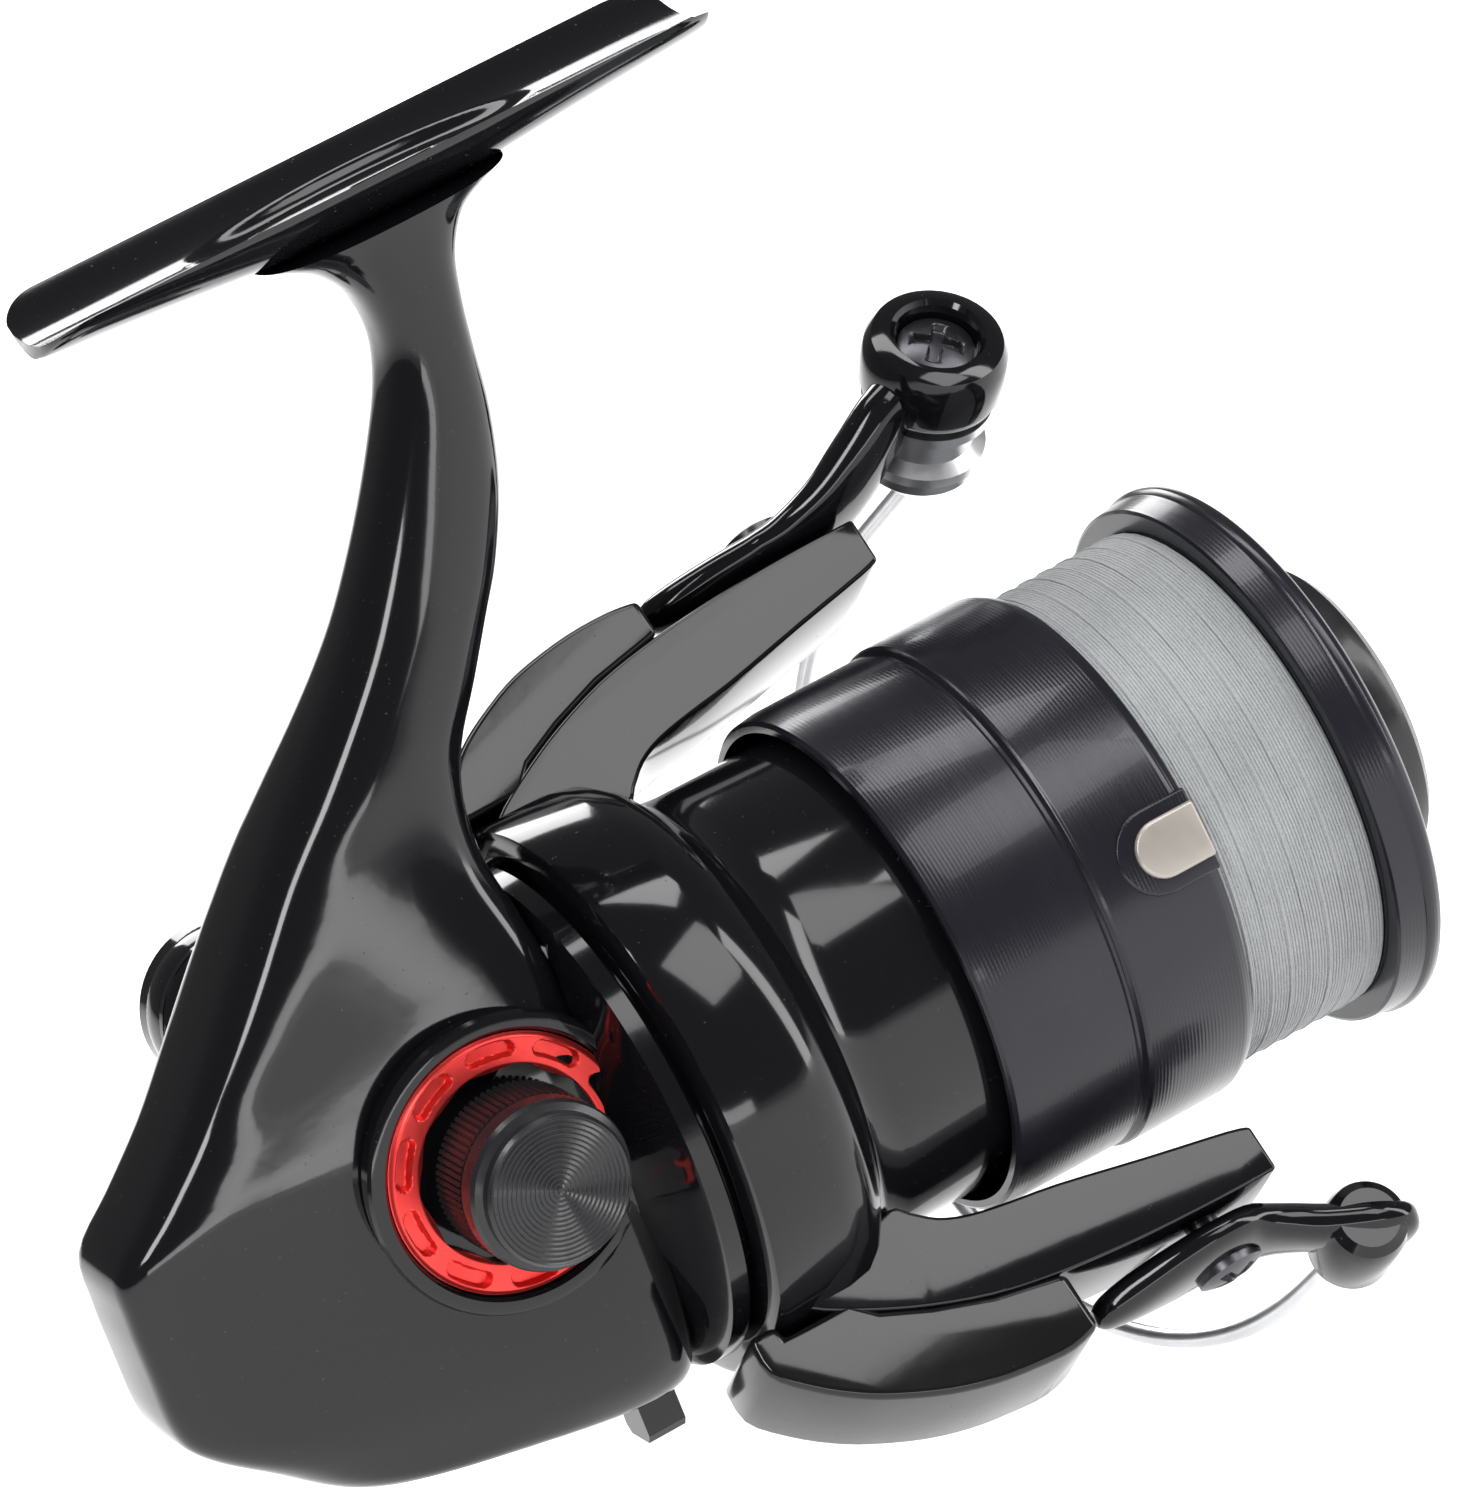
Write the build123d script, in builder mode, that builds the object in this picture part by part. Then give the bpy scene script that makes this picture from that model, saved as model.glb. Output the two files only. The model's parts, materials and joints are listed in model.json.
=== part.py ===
from build123d import *
from math import cos, radians, sin, sqrt
import os

# Fixed-spool spinning reel, millimetres. +X runs forward along the rod, +Y to the handle side, +Z up to the rod.
# The origin is the middle of the foot's seat, where the rod rests.

# ---- driving sizes ----
shaft_drop = 82.0          # seat down to the main shaft
foot_length = 62.0
foot_width = 13.6
foot_edge = 1.9            # height of the seat's two edges above its middle
foot_thick = 3.2

drive_x = -22.0            # crank axis
drive_rise = 5.5           # crank axis above the main shaft
case_half = 12.2           # half width of the gear case
case_wall = 1.8
seam_y = 4.0               # plane where the side cover meets the housing

gear_teeth = 52
pinion_teeth = 10
gear_tip_radius = 17.2
gear_face = 2.1            # length of a face tooth
pinion_tip = 3.46
pinion_root = 2.25
slow_teeth = 26            # oscillation gear
slow_drive_teeth = 14      # its driver on the drive shaft
slow_module = 0.75
crank_length = 48.0
crank_angle = 45.0         # degrees below forward
hub_y = 43.0               # middle of the crank's hub
knob_length = 30.0

shaft_radius = 1.6
drive_radius = 3.25
bearing_radius = 5.5
run_gap = 0.04             # radial clearance of a running fit
seat_gap = 0.02            # clearance between fixed pieces
rotor_gap = 1.0            # air between the turning rotor and the housing

flange_radius = 22.8
nose_radius = 21.0
nose_front = -1.2
rotor_rear = -8.0
rotor_front = 25.0
rotor_radius = 20.75
bowl_radius = 25.3
rotor_wall = 1.75
web_x = 12.0               # rotor's inner wall
web_thick = 2.5

arm_lean = 37.7            # degrees from straight up towards the handle side
arm_half = 6.5
arm_top = 33.2             # outer face of an arm, from the main shaft
arm_low = 28.4             # inner face of an arm at its end
pivot_x = 30.0
pivot_radius = 1.5
lever_thick = 3.6
lever_gap = 0.4            # between an arm and the lever on it

skirt_rear = 17.3
skirt_front = 41.0
skirt_radius = 23.5
skirt_wall = 1.4
drum_radius = 13.5
flange_rear = 55.0
lip_front = 59.6
lip_radius = 24.8
line_radius = 22.3
knob_radius = 14.0
knob_front = 66.6

bail_reach = 44.5          # from the pivot line to the middle of the wire
wire_radius = 0.8
roller_radius = 5.7
roller_width = 5.8

# ---- places worked out from them ----
shaft_z = -shaft_drop
drive_z = shaft_z + drive_rise
mesh_reach = sqrt((gear_tip_radius - gear_face / 2) ** 2 - drive_rise ** 2)
pitch_radius = mesh_reach * pinion_teeth / gear_teeth
mesh_x = drive_x + mesh_reach
slow_reach = slow_module * (slow_teeth + slow_drive_teeth) / 2 + 0.15
slow_x = drive_x - slow_reach * cos(radians(28.0))
slow_z = drive_z - slow_reach * sin(radians(28.0))
lean = radians(arm_lean)
swing = radians(crank_angle)
knob_x = drive_x + crank_length * cos(swing)
knob_z = drive_z - crank_length * sin(swing)
lever_low = arm_top + lever_gap
lever_high = lever_low + lever_thick

shaft_axis = Axis((0, 0, shaft_z), (1, 0, 0))
drive_axis = Axis((drive_x, 0, drive_z), (0, 1, 0))
slow_axis = Axis((slow_x, 0, slow_z), (0, 1, 0))
knob_axis = Axis((knob_x, 0, knob_z), (0, 1, 0))
side = Plane(origin=(0, 0, shaft_z), x_dir=(1, 0, 0), z_dir=(0, -1, 0))
drive_side = Plane(origin=(drive_x, 0, drive_z), x_dir=(1, 0, 0), z_dir=(0, -1, 0))
slow_side = Plane(origin=(slow_x, 0, slow_z), x_dir=(1, 0, 0), z_dir=(0, -1, 0))
drive_cut = Plane(origin=(drive_x, 0, drive_z), x_dir=(0, 1, 0), z_dir=(1, 0, 0))
knob_cut = Plane(origin=(knob_x, 0, knob_z), x_dir=(0, 1, 0), z_dir=(1, 0, 0))
upper_side = Plane(origin=(0, 0, shaft_z), x_dir=(1, 0, 0), z_dir=(0, -cos(lean), sin(lean)))
lower_side = Plane(origin=(0, 0, shaft_z), x_dir=(1, 0, 0), z_dir=(0, cos(lean), -sin(lean)))
beyond_seam = Plane(origin=(0, seam_y, 0), x_dir=(1, 0, 0), z_dir=(0, 1, 0))


def station(x):
    """Plane across the main shaft at x, facing forward."""
    return Plane(origin=(x, 0, shaft_z), x_dir=(0, 1, 0), z_dir=(1, 0, 0))


def arm_vector(x, across, out):
    """A direction given forward, across the upper arm to its far side, and out along it."""
    return Vector(x, across * cos(lean) + out * sin(lean), out * cos(lean) - across * sin(lean))


def arm_point(x, across, out):
    """The same for a place, counted from the main shaft."""
    return arm_vector(x, across, out) + Vector(0, 0, shaft_z)


def out_plane(x, out):
    """Plane square to the upper arm's direction, out from the shaft; a negative out is the lower arm."""
    facing = 1 if out > 0 else -1
    return Plane(origin=arm_point(x, 0, out), x_dir=(1, 0, 0), z_dir=arm_vector(0, 0, facing))


os.makedirs("parts", exist_ok=True)

# ---- gear case: one outer form, shared by the housing and the side cover ----
case_top = 26.6
case_outline = [
    (-54.0, 10.0),
    (-47.0, 14.4),
    (-36.7, case_top),
    (-13.0, case_top),
    (-11.0, 22.0),
    (-11.0, -21.0),
    (-13.0, -23.6),
    (-24.0, -23.4),
    (-39.6, -19.6),
    (-54.6, -7.0),
]
case_facet = 3.4
screw_places = [(-48.2, 7.9), (-34.0, -16.6), (-21.8, -18.9), (-36.5, 20.2)]
post_radius = 2.4
screw_radius = 1.0

with BuildPart() as case_form:
    with BuildSketch(side.offset(-case_half)):
        Polygon(*case_outline, align=None)
    extrude(amount=2 * case_half)
    chamfer(case_form.faces().sort_by(Axis.Y)[0].edges(), length=case_facet)
    chamfer(case_form.faces().sort_by(Axis.Y)[-1].edges(), length=case_facet)
    with BuildSketch(side):
        with BuildLine():
            Polyline((-27.0, 0), (-27.0, 12.0), (-13.5, flange_radius), (-11.0, flange_radius), (-11.0, 0), close=True)
        make_face()
    revolve(axis=shaft_axis)

with BuildPart() as case_room:
    for half, inset in ((case_half - case_facet, case_wall), (case_half - case_wall, case_facet + 0.4)):
        with BuildSketch(side.offset(-half)):
            Polygon(*case_outline, align=None)
            offset(amount=-inset, kind=Kind.INTERSECTION)
        extrude(amount=2 * half)

with BuildPart() as cover_form:
    add(case_form.part)
    split(bisect_by=beyond_seam, keep=Keep.TOP)

# ---- housing: right half of the case, nose, stem and foot ----
stem_rear = [(-39.5, 22.0), (-31.3, 33.0), (-21.6, 42.0), (-14.3, 50.0), (-7.4, 60.0), (-3.9, 69.0), (-5.8, 76.0), (-11.0, 80.2)]
stem_front = [(9.8, 80.2), (5.6, 75.5), (3.6, 67.0), (1.4, 54.8), (-3.5, 45.4), (-8.4, 38.4), (-12.0, 32.0), (-14.0, 22.0)]
stem_widths = [(8.8, 22.0), (7.0, 33.0), (5.3, 50.0), (4.5, 64.0), (4.7, 72.0), (6.4, 80.2)]
trim_radius = 11.0
bezel_radius = 12.8
bezel_rise = 1.0
bearing_width = 2.5
bearing_floor = -case_half + 1.1      # outer end of the right bearing's bore
gear_back = -8.2
pocket_back = gear_back - 0.7
bush_front = mesh_x - gear_face / 2 - 2.1
bush_length = 2.3
bush_radius = 3.4
journal_rear = 2.2
rod_z = -7.5                          # guide rod below the main shaft
rod_radius = 1.0
rod_rear = -51.4
rod_front = -26.5
rod_foot = -22.0                      # bottom wall under the rod's front rib
clutch_screw_reach = 9.2
clutch_screw_radius = 0.8
lever_x = -14.0                       # anti-reverse lever
lever_pivot = -19.5
clutch_front = 5.0
clutch_radius = 11.0
seat_radius = (foot_width ** 2 / 4 + foot_edge ** 2) / (2 * foot_edge)

with BuildPart() as stem_form:
    with BuildSketch(side):
        with BuildLine():
            Spline(*stem_rear)
            Line(stem_rear[-1], stem_front[0])
            Spline(*stem_front)
            Line(stem_front[-1], stem_rear[0])
        make_face()
    extrude(amount=case_half, both=True)
    with BuildSketch(station(-60.0)):
        Polygon(*[(-y, z) for y, z in stem_widths], *reversed(stem_widths), align=None)
    extrude(amount=90.0, mode=Mode.INTERSECT)
    # the side cover closes the case below the stem's root on the handle side
    with BuildSketch(side.offset(-2 * case_half)):
        with Locations((-30.0, case_top / 2 + seat_gap)):
            Rectangle(60.0, case_top)
    extrude(amount=2 * case_half - seam_y, mode=Mode.SUBTRACT)

with BuildPart() as housing:
    add(case_form.part)
    split(bisect_by=beyond_seam, keep=Keep.BOTTOM)
    add(stem_form.part)
    with BuildSketch(station(-11.0)):
        Circle(flange_radius)
    extrude(amount=2.0)
    with BuildSketch(station(-9.0)):
        Circle(nose_radius)
    extrude(amount=nose_front + 9.0)
    add(case_room.part, mode=Mode.SUBTRACT)
    # room for the drive gear, open towards the side cover
    with BuildSketch(drive_side.offset(-seam_y)):
        Circle(gear_tip_radius + 0.8)
    extrude(amount=seam_y - pocket_back, mode=Mode.SUBTRACT)
    # foot: plan, tapered underside, hollowed seat
    with BuildSketch(Plane.XY.offset(-foot_thick)):
        RectangleRounded(foot_length, foot_width, foot_width / 3)
    extrude(amount=foot_thick + foot_edge)
    with BuildSketch(Plane.XZ):
        for end in (-1, 1):
            with BuildLine():
                Polyline(
                    (end * 13.0, -foot_thick),
                    (end * foot_length * 0.6, -foot_thick),
                    (end * foot_length * 0.6, -0.9),
                    close=True,
                )
            make_face()
    extrude(amount=foot_width, both=True, mode=Mode.SUBTRACT)
    with BuildSketch(Plane(origin=(-foot_length, 0, 0), x_dir=(0, 1, 0), z_dir=(1, 0, 0))):
        with Locations((0, seat_radius)):
            Circle(seat_radius)
    extrude(amount=2 * foot_length, mode=Mode.SUBTRACT)
    with BuildSketch(Plane.XY.offset(-1.0)):
        Ellipse(17.0, 3.6)
    extrude(amount=foot_edge + 2.0, mode=Mode.SUBTRACT)
    with BuildSketch(Plane.XY.offset(-2.2)):
        with Locations((3.0, 0)):
            Rectangle(7.0, 1.8)
    extrude(amount=2.0, mode=Mode.SUBTRACT)
    # bezel and recess of the trim ring
    with BuildSketch(drive_side.offset(case_half + bezel_rise)):
        Circle(bezel_radius)
    extrude(amount=foot_width, mode=Mode.SUBTRACT)
    with BuildSketch(drive_side.offset(case_half - 2.0)):
        Circle(bezel_radius)
        Circle(trim_radius + seat_gap, mode=Mode.SUBTRACT)
    extrude(amount=bezel_rise + 2.0)
    with BuildSketch(drive_side.offset(case_half - 0.6)):
        Circle(trim_radius + seat_gap)
    extrude(amount=bezel_rise + 2.0, mode=Mode.SUBTRACT)
    # right bearing
    with BuildSketch(drive_side.offset(-pocket_back)):
        Circle(bearing_radius + 2.2)
    extrude(amount=-bearing_floor + pocket_back + 0.5)
    with BuildSketch(drive_side.offset(-pocket_back - 1.0)):
        Circle(bearing_radius + seat_gap)
    extrude(amount=-bearing_floor + pocket_back + 1.0, mode=Mode.SUBTRACT)
    with BuildSketch(drive_side):
        Circle(drive_radius + 0.9)
    extrude(amount=2 * case_half, mode=Mode.SUBTRACT)
    # pinion passage, front bearing seat, and the bridge that holds the rear bush
    with BuildSketch(station(-9.5)):
        Circle(pinion_tip + 0.7)
    extrude(amount=12.0, mode=Mode.SUBTRACT)
    with BuildSketch(station(nose_front - bearing_width)):
        Circle(bearing_radius + 1.0 + seat_gap)
    extrude(amount=bearing_width + 1.0, mode=Mode.SUBTRACT)
    with BuildSketch(station(bush_front - bush_length)):
        Circle(bush_radius + 0.8)
        for rise in (-1, 1):
            with Locations((1.05, rise * 5.15)):
                Rectangle(5.9, 3.9)
    extrude(amount=bush_length)
    with BuildSketch(station(bush_front)):
        for rise in (-1, 1):
            with Locations((1.05, rise * 5.5)):
                Rectangle(5.9, 3.2)
    extrude(amount=-4.2 - bush_front)
    with BuildSketch(station(bush_front - bush_length)):
        Circle(bush_radius + seat_gap)
    extrude(amount=bush_length, mode=Mode.SUBTRACT)
    # posts for the cover screws
    with BuildSketch(side.offset(-seam_y)):
        with Locations(*screw_places):
            Circle(post_radius)
    extrude(amount=seam_y + case_half - 1.0)
    with BuildSketch(side.offset(-seam_y)):
        with Locations(*screw_places):
            Circle(screw_radius)
    extrude(amount=9.0, mode=Mode.SUBTRACT)
    # two ribs for the guide rod
    with BuildSketch(side.offset(-seam_y + 0.1)):
        with Locations((rod_rear + 1.0, rod_z - 0.4)):
            Rectangle(2.0, 3.8)
        with Locations((rod_front - 1.2, (rod_foot + rod_z + 1.5) / 2)):
            Rectangle(2.4, rod_z + 1.5 - rod_foot)
    extrude(amount=seam_y + 1.8)
    with BuildSketch(station(rod_rear)):
        with Locations((0, rod_z)):
            Circle(rod_radius + seat_gap)
    extrude(amount=rod_front - rod_rear, mode=Mode.SUBTRACT)
    # clutch screws
    with BuildSketch(station(nose_front)):
        with PolarLocations(clutch_screw_reach, 3, start_angle=90.0):
            Circle(clutch_screw_radius + seat_gap)
    extrude(amount=-2.4, mode=Mode.SUBTRACT)
    # slot and pivot bore of the anti-reverse lever
    with BuildSketch(Plane(origin=(lever_x, 0, shaft_z - 22.0), x_dir=(1, 0, 0), z_dir=(0, 0, -1))):
        Rectangle(4.2, 11.0)
    extrude(amount=6.0, both=True, mode=Mode.SUBTRACT)
    with BuildSketch(station(lever_x - 5.0)):
        with Locations((0, lever_pivot)):
            Circle(1.0)
    extrude(amount=10.0, mode=Mode.SUBTRACT)
housing.part.label = "housing"
export_step(housing.part, "parts/housing.step")

# ---- side cover and the fixed pieces of the case ----
left_bearing_outer = 11.3
head_radius = 1.8
head_depth = 1.4

with BuildPart() as side_cover:
    add(cover_form.part)
    add(case_room.part, mode=Mode.SUBTRACT)
    with BuildSketch(drive_side.offset(-seam_y - 3.0)):
        Circle(gear_tip_radius + 0.8)
    extrude(amount=3.0, mode=Mode.SUBTRACT)
    with BuildSketch(drive_side.offset(-left_bearing_outer)):
        Circle(bearing_radius + 2.2)
    extrude(amount=left_bearing_outer - 7.6)
    with BuildSketch(drive_side.offset(-left_bearing_outer)):
        Circle(bearing_radius + seat_gap)
    extrude(amount=left_bearing_outer - seam_y, mode=Mode.SUBTRACT)
    with BuildSketch(drive_side.offset(-2 * case_half)):
        Circle(drive_radius + 0.9)
    extrude(amount=2 * case_half, mode=Mode.SUBTRACT)
    with BuildSketch(side.offset(-case_half + 1.0)):
        with Locations(*screw_places):
            Circle(post_radius)
    extrude(amount=case_half - 1.0 - seam_y)
    with BuildSketch(side.offset(-case_half)):
        with Locations(*screw_places):
            Circle(screw_radius + 0.15)
    extrude(amount=case_half, mode=Mode.SUBTRACT)
    with BuildSketch(side.offset(-case_half)):
        with Locations(*screw_places):
            Circle(head_radius + 0.15)
    extrude(amount=head_depth + 0.2, mode=Mode.SUBTRACT)
    # boss for the oscillation gear's axle
    with BuildSketch(slow_side.offset(-case_half + 1.0)):
        Circle(2.6)
    extrude(amount=case_half - 1.0 - 7.2)
    with BuildSketch(slow_side.offset(-case_half + 1.2)):
        Circle(1.2 + seat_gap)
    extrude(amount=case_half, mode=Mode.SUBTRACT)
side_cover.part.label = "side_cover"
export_step(side_cover.part, "parts/side_cover.step")

with BuildPart() as cover_screws:
    with BuildSketch(side.offset(-case_half + 0.2 + head_depth)):
        with Locations(*screw_places):
            Circle(screw_radius - seat_gap)
    extrude(amount=14.0)
    with BuildSketch(side.offset(-case_half + 0.2)):
        with Locations(*screw_places):
            Circle(head_radius)
    extrude(amount=head_depth)
    with BuildSketch(side.offset(-case_half + 0.2)):
        with Locations(*screw_places):
            Rectangle(2.2, 0.5)
            Rectangle(0.5, 2.2)
    extrude(amount=0.7, mode=Mode.SUBTRACT)
cover_screws.part.label = "cover_screws"
export_step(cover_screws.part, "parts/cover_screws.step")

trim_inner = 8.0
trim_thick = 1.4

with BuildPart() as trim_ring:
    with BuildSketch(drive_side.offset(case_half - 0.6)):
        Circle(trim_radius)
        Circle(trim_inner, mode=Mode.SUBTRACT)
    extrude(amount=trim_thick)
    chamfer(trim_ring.faces().sort_by(Axis.Y)[0].edges(), length=0.3)
    with BuildSketch(drive_side.offset(case_half - 0.6 + trim_thick)):
        with PolarLocations((trim_radius + trim_inner) / 2, 9):
            Rectangle(1.3, 3.6)
    extrude(amount=-0.5, mode=Mode.SUBTRACT)
trim_ring.part.label = "trim_ring"
export_step(trim_ring.part, "parts/trim_ring.step")


def bearing_profile(outer, inner, width, start):
    """Half section of a plain bearing with a shallow groove in both faces."""
    middle = (outer + inner) / 2
    end = start + width
    Polygon(
        (start, inner), (start, middle - 0.4), (start + 0.3, middle - 0.4), (start + 0.3, middle + 0.4),
        (start, middle + 0.4), (start, outer), (end, outer), (end, middle + 0.4),
        (end - 0.3, middle + 0.4), (end - 0.3, middle - 0.4), (end, middle - 0.4), (end, inner), align=None,
    )


with BuildPart() as drive_bearing_right:
    with BuildSketch(drive_cut):
        bearing_profile(bearing_radius, drive_radius + run_gap, bearing_width, bearing_floor)
    revolve(axis=drive_axis)
drive_bearing_right.part.label = "drive_bearing_right"
export_step(drive_bearing_right.part, "parts/drive_bearing_right.step")

with BuildPart() as drive_bearing_left:
    with BuildSketch(drive_cut):
        bearing_profile(bearing_radius, drive_radius + run_gap, bearing_width, left_bearing_outer - bearing_width)
    revolve(axis=drive_axis)
drive_bearing_left.part.label = "drive_bearing_left"
export_step(drive_bearing_left.part, "parts/drive_bearing_left.step")

journal_front = 3.0

with BuildPart() as pinion_bearing:
    with BuildSketch(side):
        bearing_profile(bearing_radius + 1.0, journal_front + run_gap, bearing_width, nose_front - bearing_width)
    revolve(axis=shaft_axis)
pinion_bearing.part.label = "pinion_bearing"
export_step(pinion_bearing.part, "parts/pinion_bearing.step")

with BuildPart() as pinion_bush:
    with BuildSketch(station(bush_front - bush_length)):
        Circle(bush_radius)
        Circle(journal_rear + run_gap, mode=Mode.SUBTRACT)
    extrude(amount=bush_length)
pinion_bush.part.label = "pinion_bush"
export_step(pinion_bush.part, "parts/pinion_bush.step")

clutch_bore = 7.3
roller_count = 8
clutch_roller_radius = 1.0
cage_front = -0.4

with BuildPart() as clutch_housing:
    with BuildSketch(station(nose_front)):
        Circle(clutch_radius)
        Circle(clutch_bore, mode=Mode.SUBTRACT)
        with PolarLocations(clutch_screw_reach, 3, start_angle=90.0):
            Circle(clutch_screw_radius + 0.1, mode=Mode.SUBTRACT)
    extrude(amount=clutch_front - nose_front)
clutch_housing.part.label = "clutch_housing"
export_step(clutch_housing.part, "parts/clutch_housing.step")

with BuildPart() as clutch_cage:
    with BuildSketch(station(nose_front)):
        Circle(clutch_bore - seat_gap)
        Circle(5.4, mode=Mode.SUBTRACT)
    extrude(amount=cage_front - nose_front)
clutch_cage.part.label = "clutch_cage"
export_step(clutch_cage.part, "parts/clutch_cage.step")

with BuildPart() as clutch_rollers:
    with BuildSketch(station(cage_front)):
        with PolarLocations(clutch_bore - clutch_roller_radius - 0.06, roller_count):
            Circle(clutch_roller_radius)
    extrude(amount=4.6)
clutch_rollers.part.label = "clutch_rollers"
export_step(clutch_rollers.part, "parts/clutch_rollers.step")

with BuildPart() as clutch_screws:
    with BuildSketch(station(nose_front - 2.2)):
        with PolarLocations(clutch_screw_reach, 3, start_angle=90.0):
            Circle(clutch_screw_radius)
    extrude(amount=2.2 + clutch_front - nose_front)
clutch_screws.part.label = "clutch_screws"
export_step(clutch_screws.part, "parts/clutch_screws.step")

with BuildPart() as guide_rod:
    with BuildSketch(station(rod_rear + 0.2)):
        with Locations((0, rod_z)):
            Circle(rod_radius)
    extrude(amount=rod_front - rod_rear - 0.2)
guide_rod.part.label = "guide_rod"
export_step(guide_rod.part, "parts/guide_rod.step")

axle_radius = 1.2
slow_rear = 4.6            # side of the oscillation gears nearer the middle
slow_width = 2.2

with BuildPart() as oscillation_axle:
    with BuildSketch(slow_side.offset(-case_half + 1.2)):
        Circle(axle_radius)
    extrude(amount=case_half - 1.2 - slow_rear - 0.4)
oscillation_axle.part.label = "oscillation_axle"
export_step(oscillation_axle.part, "parts/oscillation_axle.step")

with BuildPart() as anti_reverse_pin:
    with BuildSketch(station(lever_x - 4.8)):
        with Locations((0, lever_pivot)):
            Circle(1.0 - seat_gap)
    extrude(amount=9.0)
anti_reverse_pin.part.label = "anti_reverse_pin"
export_step(anti_reverse_pin.part, "parts/anti_reverse_pin.step")

with BuildPart() as anti_reverse_lever:
    with BuildSketch(station(lever_x - 1.8)):
        with Locations((0, lever_pivot)):
            Circle(2.4)
        Polygon((-1.6, lever_pivot), (1.6, lever_pivot), (2.2, -27.4), (1.6, -28.2), (-1.6, -28.2), (-2.2, -27.4), align=None)
        with Locations((0, lever_pivot)):
            Circle(1.0 + run_gap, mode=Mode.SUBTRACT)
    extrude(amount=3.6)
anti_reverse_lever.part.label = "anti_reverse_lever"
export_step(anti_reverse_lever.part, "parts/anti_reverse_lever.step")

# ---- crank: drive gear, shafts, handle ----
tooth_base = -4.5
tooth_tip = tooth_base + gear_face
hub_radius = 5.5
hex_size = 4.0

with BuildPart() as drive_gear:
    with BuildSketch(drive_cut):
        Polygon(
            (gear_back, drive_radius + seat_gap), (gear_back, gear_tip_radius), (tooth_base, gear_tip_radius),
            (tooth_base, gear_tip_radius - gear_face - 0.5), (gear_back + 2.4, gear_tip_radius - gear_face - 0.5),
            (gear_back + 2.4, hub_radius), (-2.8, hub_radius), (-2.8, drive_radius + seat_gap), align=None,
        )
    revolve(axis=drive_axis)
    # every tooth lies along the pinion where the two meet
    tooth_plane = Plane(origin=(mesh_x, 0, shaft_z), x_dir=(0, 0, 1), z_dir=(1, 0, 0))
    with BuildSketch(tooth_plane.offset(-gear_face / 2)):
        Polygon((-0.45, -tooth_base + 0.1), (0.45, -tooth_base + 0.1), (0.26, -tooth_tip), (-0.26, -tooth_tip), align=None)
    tooth = extrude(amount=gear_face, mode=Mode.PRIVATE)
    for count in range(gear_teeth):
        add(tooth.rotate(drive_axis, count * 360.0 / gear_teeth))
drive_gear.part.label = "drive_gear"
export_step(drive_gear.part, "parts/drive_gear.step")

drive_end = 13.6

with BuildPart() as drive_shaft:
    with BuildSketch(drive_side.offset(-drive_end)):
        Circle(drive_radius)
        RegularPolygon(hex_size / 2 + 0.05, 6, major_radius=False, mode=Mode.SUBTRACT)
    extrude(amount=drive_end + 11.0)
drive_shaft.part.label = "drive_shaft"
export_step(drive_shaft.part, "parts/drive_shaft.step")


def spur_tooth(count, module):
    """One straight tooth standing out along the local X, a little slimmer than its gap."""
    pitch = module * count / 2
    Polygon(
        (pitch - 1.5 * module, -0.78 * module), (pitch, -0.62 * module), (pitch + module, -0.3 * module),
        (pitch + module, 0.3 * module), (pitch, 0.62 * module), (pitch - 1.5 * module, 0.78 * module), align=None,
    )


with BuildPart() as oscillation_driver:
    with BuildSketch(drive_side.offset(-slow_rear - slow_width)):
        Circle(slow_module * (slow_drive_teeth / 2 - 1.25))
        with PolarLocations(0, slow_drive_teeth, start_angle=208.0):
            spur_tooth(slow_drive_teeth, slow_module)
        Circle(drive_radius + seat_gap, mode=Mode.SUBTRACT)
    extrude(amount=slow_width)
oscillation_driver.part.label = "oscillation_driver"
export_step(oscillation_driver.part, "parts/oscillation_driver.step")

pin_reach = 6.0            # eccentric pin, from the gear's middle

with BuildPart() as oscillation_gear:
    with BuildSketch(slow_side.offset(-slow_rear - slow_width)):
        Circle(slow_module * (slow_teeth / 2 - 1.25))
        with PolarLocations(0, slow_teeth, start_angle=28.0 + 180.0 / slow_teeth):
            spur_tooth(slow_teeth, slow_module)
        Circle(axle_radius + run_gap, mode=Mode.SUBTRACT)
        with PolarLocations(pin_reach, 4, start_angle=90.0):
            Circle(1.6, mode=Mode.SUBTRACT)
    extrude(amount=slow_width)
    with BuildSketch(slow_side.offset(-slow_rear)):
        with Locations((-pin_reach + 1.0, 3.2)):
            Circle(1.0)
    extrude(amount=0.3)
oscillation_gear.part.label = "oscillation_gear"
export_step(oscillation_gear.part, "parts/oscillation_gear.step")

shank_radius = 3.0
cap_stub = 1.1

with BuildPart() as handle_shank:
    with BuildSketch(drive_side.offset(-drive_end)):
        RegularPolygon(hex_size / 2, 6, major_radius=False)
    extrude(amount=drive_end + 10.5)
    with BuildSketch(drive_side.offset(-drive_end)):
        Circle(shank_radius)
    extrude(amount=-(34.0 - drive_end))
    with BuildSketch(drive_side.offset(4.0)):
        Circle(cap_stub + seat_gap)
    extrude(amount=7.0, mode=Mode.SUBTRACT)
handle_shank.part.label = "handle_shank"
export_step(handle_shank.part, "parts/handle_shank.step")

with BuildPart() as handle_hub:
    with BuildSketch(drive_cut):
        Polygon(
            (31.0, shank_radius + seat_gap), (31.0, 4.8), (33.5, 6.2), (41.0, 6.2), (41.0, 3.0),
            (46.0, 3.0), (46.0, 0), (34.0, 0), (34.0, shank_radius + seat_gap), align=None,
        )
    revolve(axis=drive_axis)
handle_hub.part.label = "handle_hub"
export_step(handle_hub.part, "parts/handle_hub.step")

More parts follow.
